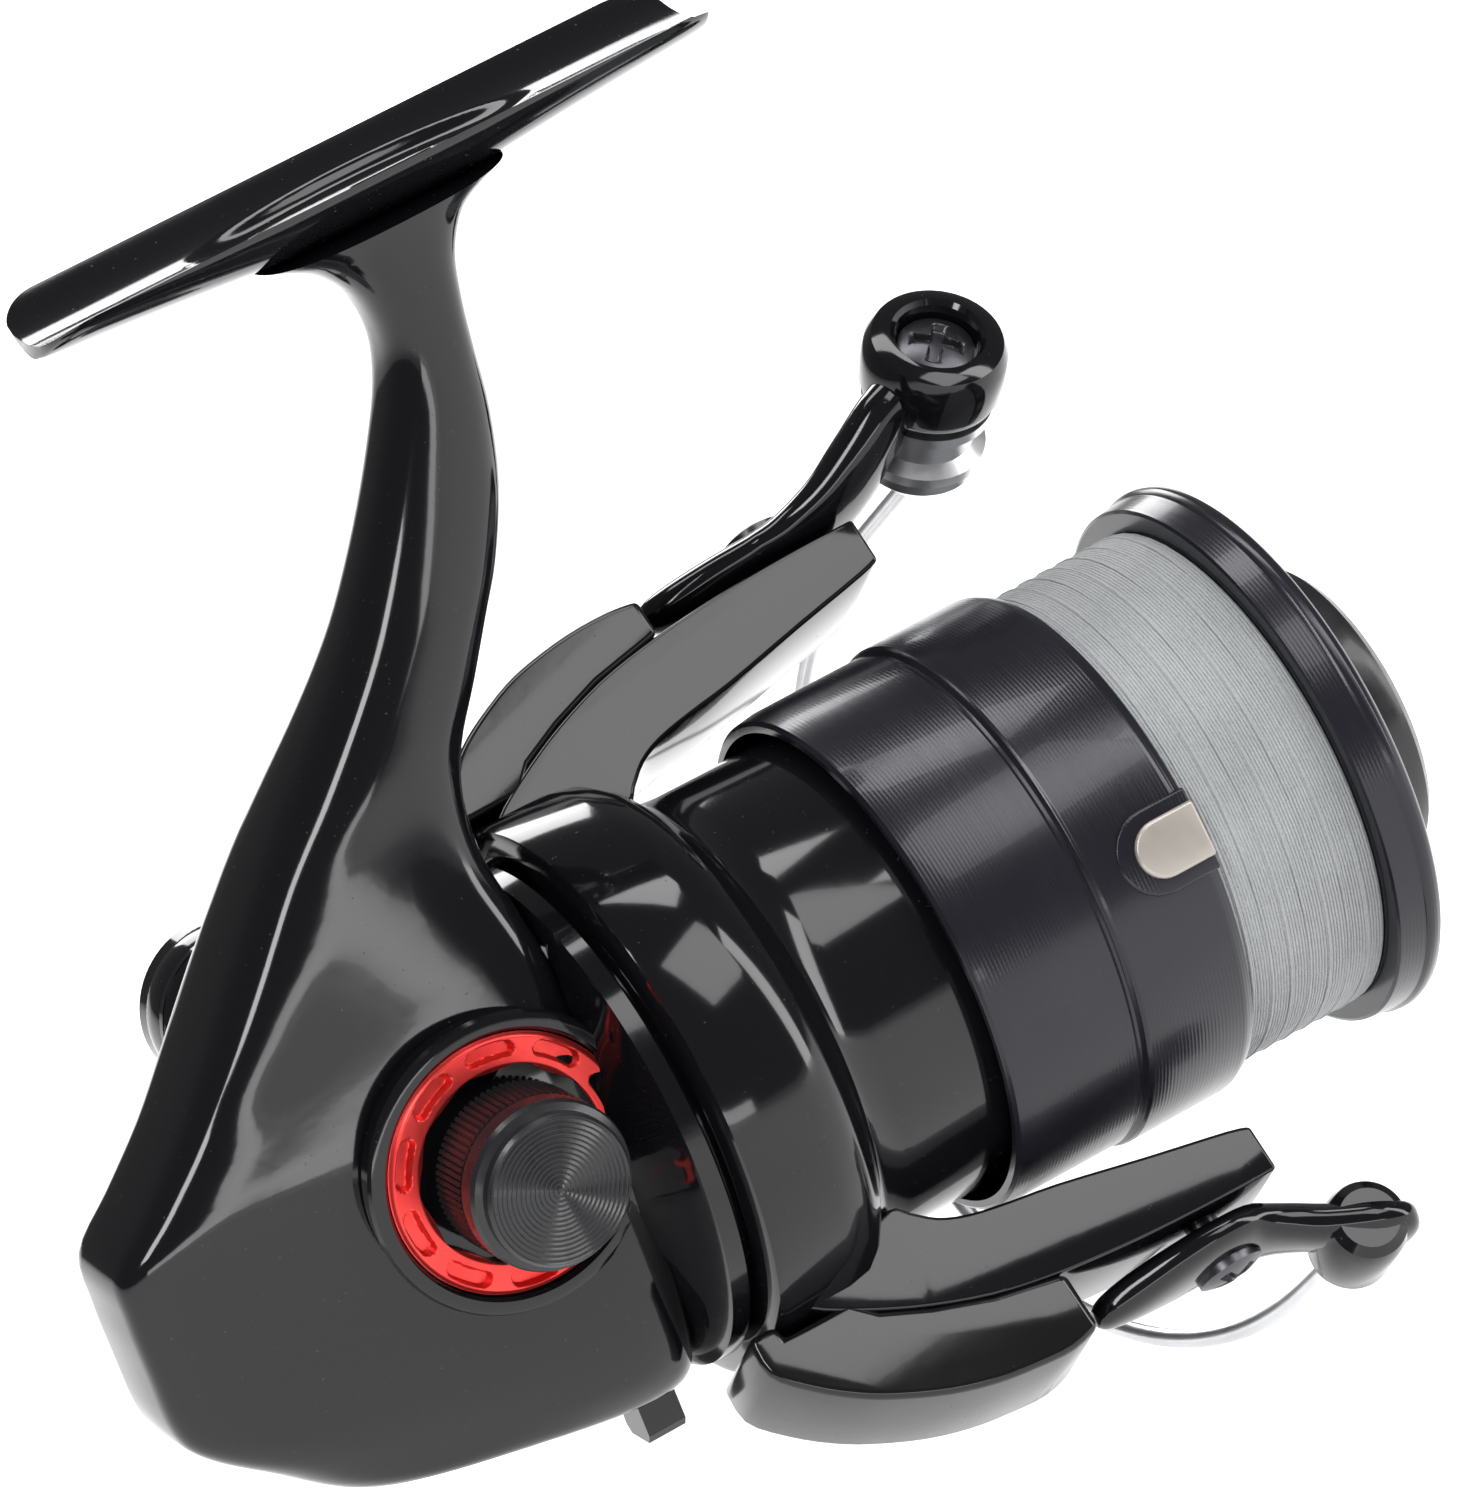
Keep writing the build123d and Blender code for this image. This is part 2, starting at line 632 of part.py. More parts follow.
arm_side = Plane(origin=(drive_x, 0, drive_z), x_dir=(cos(swing), 0, -sin(swing)), z_dir=(sin(swing), 0, cos(swing)))
eye_radius = 7.5
pin_radius = 2.2

with BuildPart() as crank_arm:
    with BuildSketch(drive_side.offset(-40.0)):
        Circle(eye_radius)
        with Locations((crank_length * cos(swing), -crank_length * sin(swing))):
            Circle(5.6)
        make_hull()
    extrude(amount=-14.0)
    with BuildSketch(arm_side):
        Polygon((-9.0, 41.0), (5.0, 41.0), (38.0, 48.2), (56.0, 48.2), (56.0, 52.0), (36.0, 52.0), (6.0, 46.0), (-9.0, 46.0), align=None)
    extrude(amount=12.0, both=True, mode=Mode.INTERSECT)
    with BuildSketch(drive_side.offset(-40.0)):
        Circle(3.0 + seat_gap)
        with Locations((crank_length * cos(swing), -crank_length * sin(swing))):
            Circle(pin_radius + seat_gap)
    extrude(amount=-14.0, mode=Mode.SUBTRACT)
crank_arm.part.label = "crank_arm"
export_step(crank_arm.part, "parts/crank_arm.step")

with BuildPart() as hub_dome:
    with BuildSketch(drive_cut):
        Polygon((46.0, 0), (46.0, 6.6), (46.8, 6.2), (47.6, 4.6), (48.0, 2.4), (48.1, 0), align=None)
    revolve(axis=drive_axis)
hub_dome.part.label = "hub_dome"
export_step(hub_dome.part, "parts/hub_dome.step")

knob_start = 53.6
knob_end = knob_start + knob_length - 4.0

with BuildPart() as knob_pin:
    with BuildSketch(knob_cut):
        Polygon(
            (48.0, 0), (48.0, pin_radius), (52.0, pin_radius), (52.0, 3.4), (53.0, 3.4), (53.0, pin_radius),
            (74.6, pin_radius), (74.6, 2.9), (76.0, 2.9), (76.0, 0), align=None,
        )
    revolve(axis=knob_axis)
knob_pin.part.label = "knob_pin"
export_step(knob_pin.part, "parts/knob_pin.step")

with BuildPart() as handle_knob:
    with BuildSketch(knob_cut):
        with BuildLine():
            outer = Spline((knob_start, 4.6), (knob_start + 5.0, 4.9), (knob_start + 16.0, 8.2), (knob_end - 1.5, 7.4), (knob_end, 5.0))
            Polyline(outer @ 1, (knob_end, 3.4), (knob_start, 3.4), outer @ 0)
        make_face()
    revolve(axis=knob_axis)
handle_knob.part.label = "handle_knob"
export_step(handle_knob.part, "parts/handle_knob.step")

with BuildPart() as knob_bushes:
    for start in (knob_start + 0.4, knob_start + 17.4):
        with BuildSketch(knob_cut):
            Polygon((start, pin_radius + run_gap), (start, 3.38), (start + 3.0, 3.38), (start + 3.0, pin_radius + run_gap), align=None)
        revolve(axis=knob_axis)
knob_bushes.part.label = "knob_bushes"
export_step(knob_bushes.part, "parts/knob_bushes.step")

with BuildPart() as knob_end_cap:
    with BuildSketch(knob_cut):
        Polygon((77.0, 0), (77.0, 3.38), (knob_end, 3.38), (knob_end, 4.4), (knob_end + 0.7, 3.8), (knob_end + 0.9, 0), align=None)
    revolve(axis=knob_axis)
knob_end_cap.part.label = "knob_end_cap"
export_step(knob_end_cap.part, "parts/knob_end_cap.step")

cap_near = -13.4
cap_step = -20.8
cap_face = -22.0
cap_radius = 7.2

with BuildPart() as handle_cap:
    with BuildSketch(drive_cut):
        Polygon(
            (cap_near, 3.0), (cap_near, cap_radius - 0.4), (cap_near - 0.4, cap_radius), (cap_step + 0.5, cap_radius),
            (cap_step, cap_radius - 0.5), (cap_step, 6.4), (cap_face + 0.4, 6.4), (cap_face, 6.0), (cap_face, 0),
            (-6.0, 0), (-6.0, cap_stub), (-11.1, cap_stub), (-11.1, 3.0), align=None,
        )
    revolve(axis=drive_axis)
handle_cap.part.label = "handle_cap"
export_step(handle_cap.part, "parts/handle_cap.step")

# ---- rotor ----
bowl_inner = nose_radius + 0.8
drum_inner = rotor_radius - rotor_wall
neck_radius = 2.5
arm_outer = [(-4.0, 24.0), (4.0, 29.0), (14.0, 32.0), (24.0, 32.7), (36.0, arm_top)]
arm_inner = [(36.0, 28.9), (34.0, arm_low), (19.0, 25.3), (11.0, 24.0), (5.0, 21.5), (0.5, 20.2), (-0.2, bowl_inner + 0.4)]
arm_screw_x = 7.0
arm_screw_radius = 0.9
upper_cover_top = [(-11.0, 24.0), (-6.5, 29.5), (-1.4, 32.8), (5.0, 35.4), (12.0, 36.0), (16.0, 36.0)]
lower_cover_top = [(-11.0, 24.0), (-11.0, 28.6), (-2.6, 34.5), (5.4, 37.4), (12.0, 38.2), (15.5, 37.6)]
cover_head_radius = 1.7
pivot_bore_out = 28.6
pivot_head = 1.2

with BuildPart() as rotor:
    with BuildSketch(side):
        Polygon(
            (rotor_rear, bowl_inner), (rotor_rear, bowl_radius - 0.7), (rotor_rear + 0.8, bowl_radius),
            (1.0, bowl_radius), (4.5, rotor_radius), (rotor_front, rotor_radius), (rotor_front, drum_inner),
            (web_x + web_thick, drum_inner), (web_x + web_thick, neck_radius + seat_gap),
            (clutch_front + 0.6, neck_radius + seat_gap), (clutch_front + 0.6, 7.0), (web_x, 7.0),
            (web_x, drum_inner), (nose_front + 0.6, drum_inner), (nose_front + 0.6, bowl_inner), align=None,
        )
    revolve(axis=shaft_axis)
    for plane in (upper_side, lower_side):
        with BuildSketch(plane):
            Polygon((-6.5, bowl_inner + 0.6), *arm_outer, *arm_inner, align=None)
        extrude(amount=arm_half, both=True)
    for facing in (1, -1):
        with BuildSketch(out_plane(pivot_x, facing * pivot_bore_out)):
            Circle(pivot_radius + seat_gap)
        extrude(amount=arm_top, mode=Mode.SUBTRACT)
        with BuildSketch(out_plane(arm_screw_x, facing * 25.5)):
            Circle(arm_screw_radius + seat_gap)
        extrude(amount=arm_top, mode=Mode.SUBTRACT)
rotor.part.label = "rotor"
export_step(rotor.part, "parts/rotor.step")

cover_seat = [(14.0, 32.0), (4.0, 29.0), (-1.9, bowl_radius + 0.01), (rotor_rear - 0.1, bowl_radius + 0.01), (rotor_rear - 0.1, 24.0)]

with BuildPart() as upper_arm_cover:
    with BuildSketch(upper_side):
        Polygon(*upper_cover_top, (16.0, 32.14), *cover_seat, align=None)
    extrude(amount=arm_half, both=True)
    with BuildSketch(out_plane(arm_screw_x, 25.0)):
        Circle(arm_screw_radius + 0.1)
    extrude(amount=20.0, mode=Mode.SUBTRACT)
    with BuildSketch(out_plane(arm_screw_x, 33.6)):
        Circle(cover_head_radius + 0.1)
    extrude(amount=10.0, mode=Mode.SUBTRACT)
upper_arm_cover.part.label = "upper_arm_cover"
export_step(upper_arm_cover.part, "parts/upper_arm_cover.step")

with BuildPart() as lower_arm_cover:
    with BuildSketch(lower_side):
        Polygon(*lower_cover_top, (15.5, 32.11), *cover_seat, align=None)
    extrude(amount=arm_half, both=True)
    with BuildSketch(out_plane(arm_screw_x, -25.0)):
        Circle(arm_screw_radius + 0.1)
    extrude(amount=20.0, mode=Mode.SUBTRACT)
    with BuildSketch(out_plane(arm_screw_x, -35.2)):
        Circle(cover_head_radius + 0.1)
    extrude(amount=10.0, mode=Mode.SUBTRACT)
lower_arm_cover.part.label = "lower_arm_cover"
export_step(lower_arm_cover.part, "parts/lower_arm_cover.step")

with BuildPart() as arm_cover_screws:
    for seat in (33.6, -35.2):
        with BuildSketch(out_plane(arm_screw_x, seat)):
            Circle(cover_head_radius)
        extrude(amount=1.1)
        with BuildSketch(out_plane(arm_screw_x, seat)):
            Circle(arm_screw_radius)
        extrude(amount=-(abs(seat) - 26.0))
arm_cover_screws.part.label = "arm_cover_screws"
export_step(arm_cover_screws.part, "parts/arm_cover_screws.step")

with BuildPart() as pivot_screws:
    for facing in (1, -1):
        with BuildSketch(out_plane(pivot_x, facing * pivot_bore_out)):
            Circle(pivot_radius)
        extrude(amount=lever_high + 0.1 - pivot_bore_out)
        with BuildSketch(out_plane(pivot_x, facing * (lever_high + 0.1))):
            Circle(3.0)
        extrude(amount=pivot_head)
pivot_screws.part.label = "pivot_screws"
export_step(pivot_screws.part, "parts/pivot_screws.step")

pinion_rear = -9.5
pinion_front = -4.6

with BuildPart() as pinion:
    with BuildSketch(side):
        Polygon(
            (bush_front - bush_length - 0.2, 0), (bush_front - bush_length - 0.2, journal_rear),
            (pinion_front, journal_rear), (pinion_front, journal_front), (clutch_front + 0.5, journal_front),
            (clutch_front + 0.5, neck_radius), (18.0, neck_radius), (18.0, 0), align=None,
        )
    revolve(axis=shaft_axis)
    with BuildSketch(station(pinion_rear)):
        Circle(pinion_root)
        with PolarLocations(0, pinion_teeth, start_angle=180.0 / pinion_teeth):
            Polygon((2.0, -0.38), (pinion_tip, -0.19), (pinion_tip, 0.19), (2.0, 0.38), align=None)
    extrude(amount=pinion_front - pinion_rear)
    with BuildSketch(station(-20.0)):
        Circle(shaft_radius + run_gap)
    extrude(amount=60.0, mode=Mode.SUBTRACT)
pinion.part.label = "pinion"
export_step(pinion.part, "parts/pinion.step")

with BuildPart() as clutch_sleeve:
    with BuildSketch(station(nose_front + 0.6)):
        Circle(5.0)
        Circle(journal_front + seat_gap, mode=Mode.SUBTRACT)
    extrude(amount=clutch_front - 0.2 - nose_front - 0.6)
clutch_sleeve.part.label = "clutch_sleeve"
export_step(clutch_sleeve.part, "parts/clutch_sleeve.step")

with BuildPart() as rotor_nut:
    with BuildSketch(station(web_x + web_thick)):
        RegularPolygon(4.5, 6, major_radius=False)
        Circle(neck_radius + seat_gap, mode=Mode.SUBTRACT)
    extrude(amount=3.3)
rotor_nut.part.label = "rotor_nut"
export_step(rotor_nut.part, "parts/rotor_nut.step")

# ---- bail ----
tip = arm_point(49.2, -13.0, 42.2)
roller_dir = arm_vector(-0.155, 0.934, -0.309).normalized()
roller_plane = Plane(origin=tip, z_dir=roller_dir)
roller_cut = Plane(origin=tip, x_dir=roller_dir, z_dir=roller_dir.cross(Vector(1, 0, 0)))
roller_axis = Axis(tip, roller_dir)
boss_length = 6.4
boss_radius = 6.3
roller_start = 7.2
cone_start = roller_start + roller_width + 0.6
cone_length = 4.4
screw_head_radius = 3.3
wire_start = arm_point(46.4, 4.2, 36.7)
wire_end = arm_point(41.0, 1.6, -40.4)
wire_apex = arm_point(29.0, bail_reach, 0)
wire_line = (wire_end - wire_start).normalized()
wire_rise = (wire_apex - wire_start) - wire_line * (wire_apex - wire_start).dot(wire_line)
wire_up = wire_rise.normalized()
wire_width = (wire_end - wire_start).length
wire_height = wire_rise.length
wire_plane = Plane(origin=wire_start, x_dir=wire_line, z_dir=wire_line.cross(wire_up))
bar_start = arm_point(34.2, -2.2, 35.5)
bar_end = arm_point(47.8, -10.0, 40.8)
bar_dir = (bar_end - bar_start).normalized()
bar_across = arm_vector(0, 0, 1).cross(bar_dir)
low_start = arm_point(34.6, 0, -35.5)
low_end = arm_point(41.0, -2.0, -40.4)
low_dir = (low_end - low_start).normalized()
low_across = arm_vector(0, 0, -1).cross(low_dir)
boss_low = Plane(origin=arm_point(41.0, -5.0, -40.4), x_dir=(1, 0, 0), z_dir=arm_vector(0, 1, 0))
wire_hole = 2.6

with BuildPart() as bail_lever:
    with BuildSketch(out_plane(pivot_x, lever_low)):
        Circle(6.4)
        with Locations((-9.6, 0)):
            Circle(3.2)
        make_hull()
    extrude(amount=lever_thick)
    with BuildSketch(Plane(origin=bar_start, x_dir=bar_across, z_dir=bar_dir)):
        Rectangle(9.0, 3.4)
    with BuildSketch(Plane(origin=bar_end, x_dir=bar_across, z_dir=bar_dir)):
        Rectangle(6.0, 5.0)
    loft()
    with BuildSketch(roller_plane):
        Circle(boss_radius)
    extrude(amount=boss_length)
    with BuildSketch(roller_plane):
        Circle(screw_head_radius + 0.4)
    extrude(amount=2.4, mode=Mode.SUBTRACT)
    with BuildSketch(roller_plane):
        Circle(1.6 + seat_gap)
    extrude(amount=boss_length, mode=Mode.SUBTRACT)
    # cut clear of the roller and its cone
    with BuildSketch(roller_plane.offset(boss_length)):
        Circle(roller_radius + 0.6)
    extrude(amount=14.0, mode=Mode.SUBTRACT)
    with BuildSketch(out_plane(pivot_x, lever_low)):
        Circle(pivot_radius + run_gap)
    extrude(amount=lever_thick, mode=Mode.SUBTRACT)
bail_lever.part.label = "bail_lever"
export_step(bail_lever.part, "parts/bail_lever.step")

with BuildPart() as roller_screw:
    with BuildSketch(roller_plane.offset(0.4)):
        Circle(screw_head_radius)
    extrude(amount=2.0)
    with BuildSketch(roller_plane.offset(0.4)):
        Rectangle(4.0, 0.8)
        Rectangle(0.8, 4.0)
    extrude(amount=1.0, mode=Mode.SUBTRACT)
    with BuildSketch(roller_plane.offset(2.4)):
        Circle(1.6)
    extrude(amount=cone_start + 1.6 - 2.4)
roller_screw.part.label = "roller_screw"
export_step(roller_screw.part, "parts/roller_screw.step")

with BuildPart() as roller_bush:
    with BuildSketch(roller_plane.offset(boss_length)):
        Circle(2.9)
        Circle(1.6 + seat_gap, mode=Mode.SUBTRACT)
    extrude(amount=cone_start - boss_length)
roller_bush.part.label = "roller_bush"
export_step(roller_bush.part, "parts/roller_bush.step")

with BuildPart() as line_roller:
    with BuildSketch(roller_cut):
        Polygon(
            (roller_start, 2.9 + run_gap), (roller_start, roller_radius), (roller_start + 1.0, roller_radius),
            (roller_start + 1.8, 4.6), (roller_start + roller_width - 1.8, 4.6),
            (roller_start + roller_width - 1.0, roller_radius), (roller_start + roller_width, roller_radius),
            (roller_start + roller_width, 2.9 + run_gap), align=None,
        )
    revolve(axis=roller_axis)
line_roller.part.label = "line_roller"
export_step(line_roller.part, "parts/line_roller.step")

with BuildPart() as bail_wire:
    with BuildLine(wire_plane):
        FilletPolyline((0, 0), (0, wire_height), (wire_width, wire_height), (wire_width, 0), radius=36.0)
    with BuildSketch(Plane(origin=wire_start, z_dir=wire_up)):
        Circle(wire_radius)
    sweep()
bail_wire.part.label = "bail_wire"
export_step(bail_wire.part, "parts/bail_wire.step")

with BuildPart() as wire_cone:
    with BuildSketch(roller_cut):
        Polygon(
            (cone_start, 0), (cone_start, 5.0), (cone_start + 0.8, 5.2), (cone_start + cone_length, 1.9),
            (cone_start + cone_length + 0.6, 0), align=None,
        )
    revolve(axis=roller_axis)
    with BuildSketch(roller_plane.offset(cone_start)):
        Circle(1.6 + seat_gap)
    extrude(amount=1.6, mode=Mode.SUBTRACT)
    with BuildSketch(Plane(origin=wire_start, z_dir=wire_up)):
        Circle(wire_radius + seat_gap)
    extrude(amount=8.0, mode=Mode.SUBTRACT)
wire_cone.part.label = "wire_cone"
export_step(wire_cone.part, "parts/wire_cone.step")

with BuildPart() as counter_lever:
    with BuildSketch(out_plane(pivot_x, -lever_low)):
        Circle(6.0)
        with Locations((-9.8, 0)):
            Circle(2.9)
        make_hull()
    extrude(amount=lever_thick)
    with BuildSketch(Plane(origin=low_start, x_dir=low_across, z_dir=low_dir)):
        Rectangle(8.0, 3.4)
    with BuildSketch(Plane(origin=low_end, x_dir=low_across, z_dir=low_dir)):
        Rectangle(5.0, 4.0)
    loft()
    with BuildSketch(boss_low):
        Circle(3.8)
    extrude(amount=9.0)
    with BuildSketch(Plane(origin=wire_end, z_dir=wire_up)):
        Circle(wire_radius + seat_gap)
    extrude(amount=10.0, mode=Mode.SUBTRACT)
    with BuildSketch(out_plane(pivot_x, -lever_low)):
        Circle(pivot_radius + run_gap)
    extrude(amount=lever_thick, mode=Mode.SUBTRACT)
counter_lever.part.label = "counter_lever"
export_step(counter_lever.part, "parts/counter_lever.step")

# ---- main shaft and what slides with it ----
shaft_rear = -40.5
shaft_front = 62.5
seat_rear = 33.5
seat_front = 36.9
slider_rear = -41.0
slider_front = -36.0
slider_low = rod_z - 2.1
slider_high = 3.4
pin_small = 0.8

with BuildPart() as main_shaft:
    with BuildSketch(station(shaft_rear)):
        Circle(shaft_radius)
    extrude(amount=shaft_front - shaft_rear)
    chamfer(main_shaft.edges().sort_by(Axis.X)[-1], length=0.3)
    with BuildSketch(side):
        with Locations(((seat_rear + seat_front) / 2, 0)):
            Circle(pin_small + seat_gap)
    extrude(amount=8.0, both=True, mode=Mode.SUBTRACT)
main_shaft.part.label = "main_shaft"
export_step(main_shaft.part, "parts/main_shaft.step")

with BuildPart() as slider:
    with BuildSketch(side.offset(-4.0)):
        with Locations(((slider_rear + slider_front) / 2, (slider_low + slider_high) / 2)):
            Rectangle(slider_front - slider_rear, slider_high - slider_low)
    extrude(amount=6.1)
    with BuildSketch(side.offset(-4.0)):
        with Locations(((slider_rear + slider_front) / 2, (slider_low + slider_high) / 2)):
            Rectangle(2.4, slider_high - slider_low)
    extrude(amount=1.2, mode=Mode.SUBTRACT)
    with BuildSketch(station(slider_rear)):
        Circle(shaft_radius + seat_gap)
        with Locations((0, rod_z)):
            Circle(rod_radius + run_gap)
    extrude(amount=slider_front - slider_rear, mode=Mode.SUBTRACT)
    with BuildSketch(Plane(origin=((slider_rear + slider_front) / 2, 0, shaft_z), x_dir=(1, 0, 0), z_dir=(0, 0, 1))):
        Circle(0.8 + seat_gap)
    extrude(amount=8.0, mode=Mode.SUBTRACT)
slider.part.label = "slider"
export_step(slider.part, "parts/slider.step")

with BuildPart() as slider_screw:
    with BuildSketch(Plane(origin=(slider_rear / 2 + slider_front / 2, 0, shaft_z + slider_high), x_dir=(1, 0, 0), z_dir=(0, 0, 1))):
        Circle(1.6)
    extrude(amount=1.0)
    with BuildSketch(Plane(origin=(slider_rear / 2 + slider_front / 2, 0, shaft_z + slider_high), x_dir=(1, 0, 0), z_dir=(0, 0, 1))):
        Circle(0.8)
    extrude(amount=-(slider_high - shaft_radius - 0.05))
slider_screw.part.label = "slider_screw"
export_step(slider_screw.part, "parts/slider_screw.step")

with BuildPart() as spool_seat:
    with BuildSketch(station(seat_rear)):
        Circle(7.0)
        Circle(shaft_radius + seat_gap, mode=Mode.SUBTRACT)
    extrude(amount=seat_front - seat_rear)
    with BuildSketch(side):
        with Locations(((seat_rear + seat_front) / 2, 0)):
            Circle(pin_small + seat_gap)
    extrude(amount=8.0, both=True, mode=Mode.SUBTRACT)
spool_seat.part.label = "spool_seat"
export_step(spool_seat.part, "parts/spool_seat.step")

with BuildPart() as shaft_pin:
    with BuildSketch(side):
        with Locations(((seat_rear + seat_front) / 2, 0)):
            Circle(pin_small)
    extrude(amount=6.0, both=True)
shaft_pin.part.label = "shaft_pin"
export_step(shaft_pin.part, "parts/shaft_pin.step")

# ---- spool ----
pocket_floor = 45.0
pocket_radius = 11.5
washer_step = 2.0
felt_thick = 1.0
metal_thick = 0.8
dish_radius = 14.8
skirt_inner = skirt_radius - skirt_wall - 0.4
clip_angle = 17.0
clip_x = 38.2

with BuildPart() as spool:
    with BuildSketch(side):
        Polygon(
            (skirt_rear, skirt_inner), (skirt_rear, skirt_radius - 1.0), (skirt_rear + 0.7, skirt_radius - 0.4),
            (29.8, skirt_radius - 0.4), (30.2, skirt_radius), (skirt_front - 0.6, skirt_radius),
            (skirt_front, skirt_radius - 0.6), (skirt_front, drum_radius), (flange_rear, drum_radius),
            (flange_rear, 24.0), (57.5, 24.4), (57.5, dish_radius), (54.5, pocket_radius), (pocket_floor, pocket_radius),
            (pocket_floor, shaft_radius + run_gap), (seat_front + 0.1, shaft_radius + run_gap),
            (seat_front + 0.1, 9.0), (37.5, 9.0), (37.5, skirt_inner), align=None,
        )
    revolve(axis=shaft_axis)
    clip_out = Vector(0, -cos(radians(clip_angle)), sin(radians(clip_angle)))
    clip_plane = Plane(origin=Vector(clip_x, 0, shaft_z) + clip_out * (skirt_radius - 0.7), x_dir=(1, 0, 0), z_dir=clip_out)
    with BuildSketch(clip_plane):
        Rectangle(6.4, 6.0)
    extrude(amount=3.0, mode=Mode.SUBTRACT)
spool.part.label = "spool"
export_step(spool.part, "parts/spool.step")

with BuildPart() as line_clip:
    with BuildSketch(clip_plane):
        Rectangle(5.0, 5.0)
    extrude(amount=1.3)
    chamfer(line_clip.faces().sort_by(Axis.Y)[0].edges(), length=0.4)
line_clip.part.label = "line_clip"
export_step(line_clip.part, "parts/line_clip.step")

with BuildPart() as spool_lip:
    with BuildSketch(side):
        Polygon(
            (57.5, 15.4), (57.5, lip_radius - 0.4), (57.9, lip_radius), (58.5, lip_radius), (lip_front, 23.6),
            (lip_front, 16.4), (58.8, 15.4), align=None,
        )
    revolve(axis=shaft_axis)
spool_lip.part.label = "spool_lip"
export_step(spool_lip.part, "parts/spool_lip.step")

with BuildPart() as line_winding:
    with BuildSketch(side):
        Polygon((41.05, drum_radius + seat_gap), (41.05, line_radius - 0.5), (42.0, line_radius), (54.2, line_radius), (54.95, line_radius - 0.5), (54.95, drum_radius + seat_gap), align=None)
    revolve(axis=shaft_axis)
line_winding.part.label = "line_winding"
export_step(line_winding.part, "parts/line_winding.step")

with BuildPart() as felt_washers:
    for place in range(3):
        with BuildSketch(station(pocket_floor + place * washer_step)):
            Circle(pocket_radius - seat_gap)
            Circle(3.0, mode=Mode.SUBTRACT)
        extrude(amount=felt_thick)
felt_washers.part.label = "felt_washers"
export_step(felt_washers.part, "parts/felt_washers.step")

with BuildPart() as metal_washers:
    for place in range(3):
        with BuildSketch(station(pocket_floor + place * washer_step + felt_thick + 0.1)):
            Circle(pocket_radius - 0.3)
            Circle(shaft_radius + seat_gap, mode=Mode.SUBTRACT)
        extrude(amount=metal_thick)
metal_washers.part.label = "metal_washers"
export_step(metal_washers.part, "parts/metal_washers.step")

with BuildPart() as drag_retainer:
    with BuildSketch(station(pocket_floor + 3 * washer_step + 0.2)):
        Circle(pocket_radius - seat_gap)
        Circle(9.4, mode=Mode.SUBTRACT)
    extrude(amount=0.9)
drag_retainer.part.label = "drag_retainer"
export_step(drag_retainer.part, "parts/drag_retainer.step")

with BuildPart() as drag_knob:
    with BuildSketch(side):
        Polygon(
            (51.4, 6.0), (51.4, 8.8), (57.9, 8.8), (57.9, knob_radius - 0.6), (58.5, knob_radius),
            (knob_front - 1.2, knob_radius), (knob_front, knob_radius - 1.4), (knob_front, 0), (63.0, 0),
            (63.0, 4.6), (58.0, 4.6), (58.0, 6.0), align=None,
        )
    revolve(axis=shaft_axis)
drag_knob.part.label = "drag_knob"
export_step(drag_knob.part, "parts/drag_knob.step")

with BuildPart() as drag_nut:
    with BuildSketch(station(58.2)):
        Circle(4.6 - seat_gap)
        Circle(shaft_radius + run_gap, mode=Mode.SUBTRACT)
    extrude(amount=3.6)
drag_nut.part.label = "drag_nut"
export_step(drag_nut.part, "parts/drag_nut.step")
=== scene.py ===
import json
from math import cos, sin, pi, radians, sqrt

import bmesh
import bpy
from mathutils import Matrix, Vector


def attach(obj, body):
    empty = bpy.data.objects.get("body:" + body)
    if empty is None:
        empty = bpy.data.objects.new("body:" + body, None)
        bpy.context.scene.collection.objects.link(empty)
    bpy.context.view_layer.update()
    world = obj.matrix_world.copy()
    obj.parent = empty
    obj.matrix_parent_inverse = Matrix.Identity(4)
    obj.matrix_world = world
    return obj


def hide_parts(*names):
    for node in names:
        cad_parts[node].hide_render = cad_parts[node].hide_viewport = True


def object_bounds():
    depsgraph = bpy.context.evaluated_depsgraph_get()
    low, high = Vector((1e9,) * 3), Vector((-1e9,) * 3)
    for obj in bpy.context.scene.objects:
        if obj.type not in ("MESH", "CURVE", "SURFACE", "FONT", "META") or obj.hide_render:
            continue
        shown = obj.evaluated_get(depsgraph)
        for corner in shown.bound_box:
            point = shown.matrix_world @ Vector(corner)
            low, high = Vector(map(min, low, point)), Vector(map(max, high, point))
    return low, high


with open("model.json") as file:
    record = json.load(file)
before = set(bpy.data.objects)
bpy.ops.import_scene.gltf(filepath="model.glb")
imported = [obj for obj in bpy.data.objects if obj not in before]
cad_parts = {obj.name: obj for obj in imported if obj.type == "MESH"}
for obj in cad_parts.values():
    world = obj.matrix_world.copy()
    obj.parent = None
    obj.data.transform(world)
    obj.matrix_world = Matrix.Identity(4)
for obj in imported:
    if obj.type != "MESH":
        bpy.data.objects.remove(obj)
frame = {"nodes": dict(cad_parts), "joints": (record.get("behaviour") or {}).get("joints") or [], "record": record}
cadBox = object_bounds()
nodes = frame["nodes"]
joints = {j["name"]: j for j in frame["joints"]}
mm = 0.001

# axes of the reel, all taken from its joints
shaftLow = Vector(joints["rotor_turn"]["pos_m"])
crankMid = Vector(joints["crank_turn"]["pos_m"])
rollerTip = Vector(joints["roller_turn"]["pos_m"])
rollerDir = Vector(joints["roller_turn"]["axis"])
armOut = Vector(joints["bail_swing"]["axis"])
forward = Vector((1, 0, 0))
armAcross = armOut.cross(forward)
pivotX = joints["bail_swing"]["pos_m"][0] / mm
print("frame loaded,", len(nodes), "nodes")


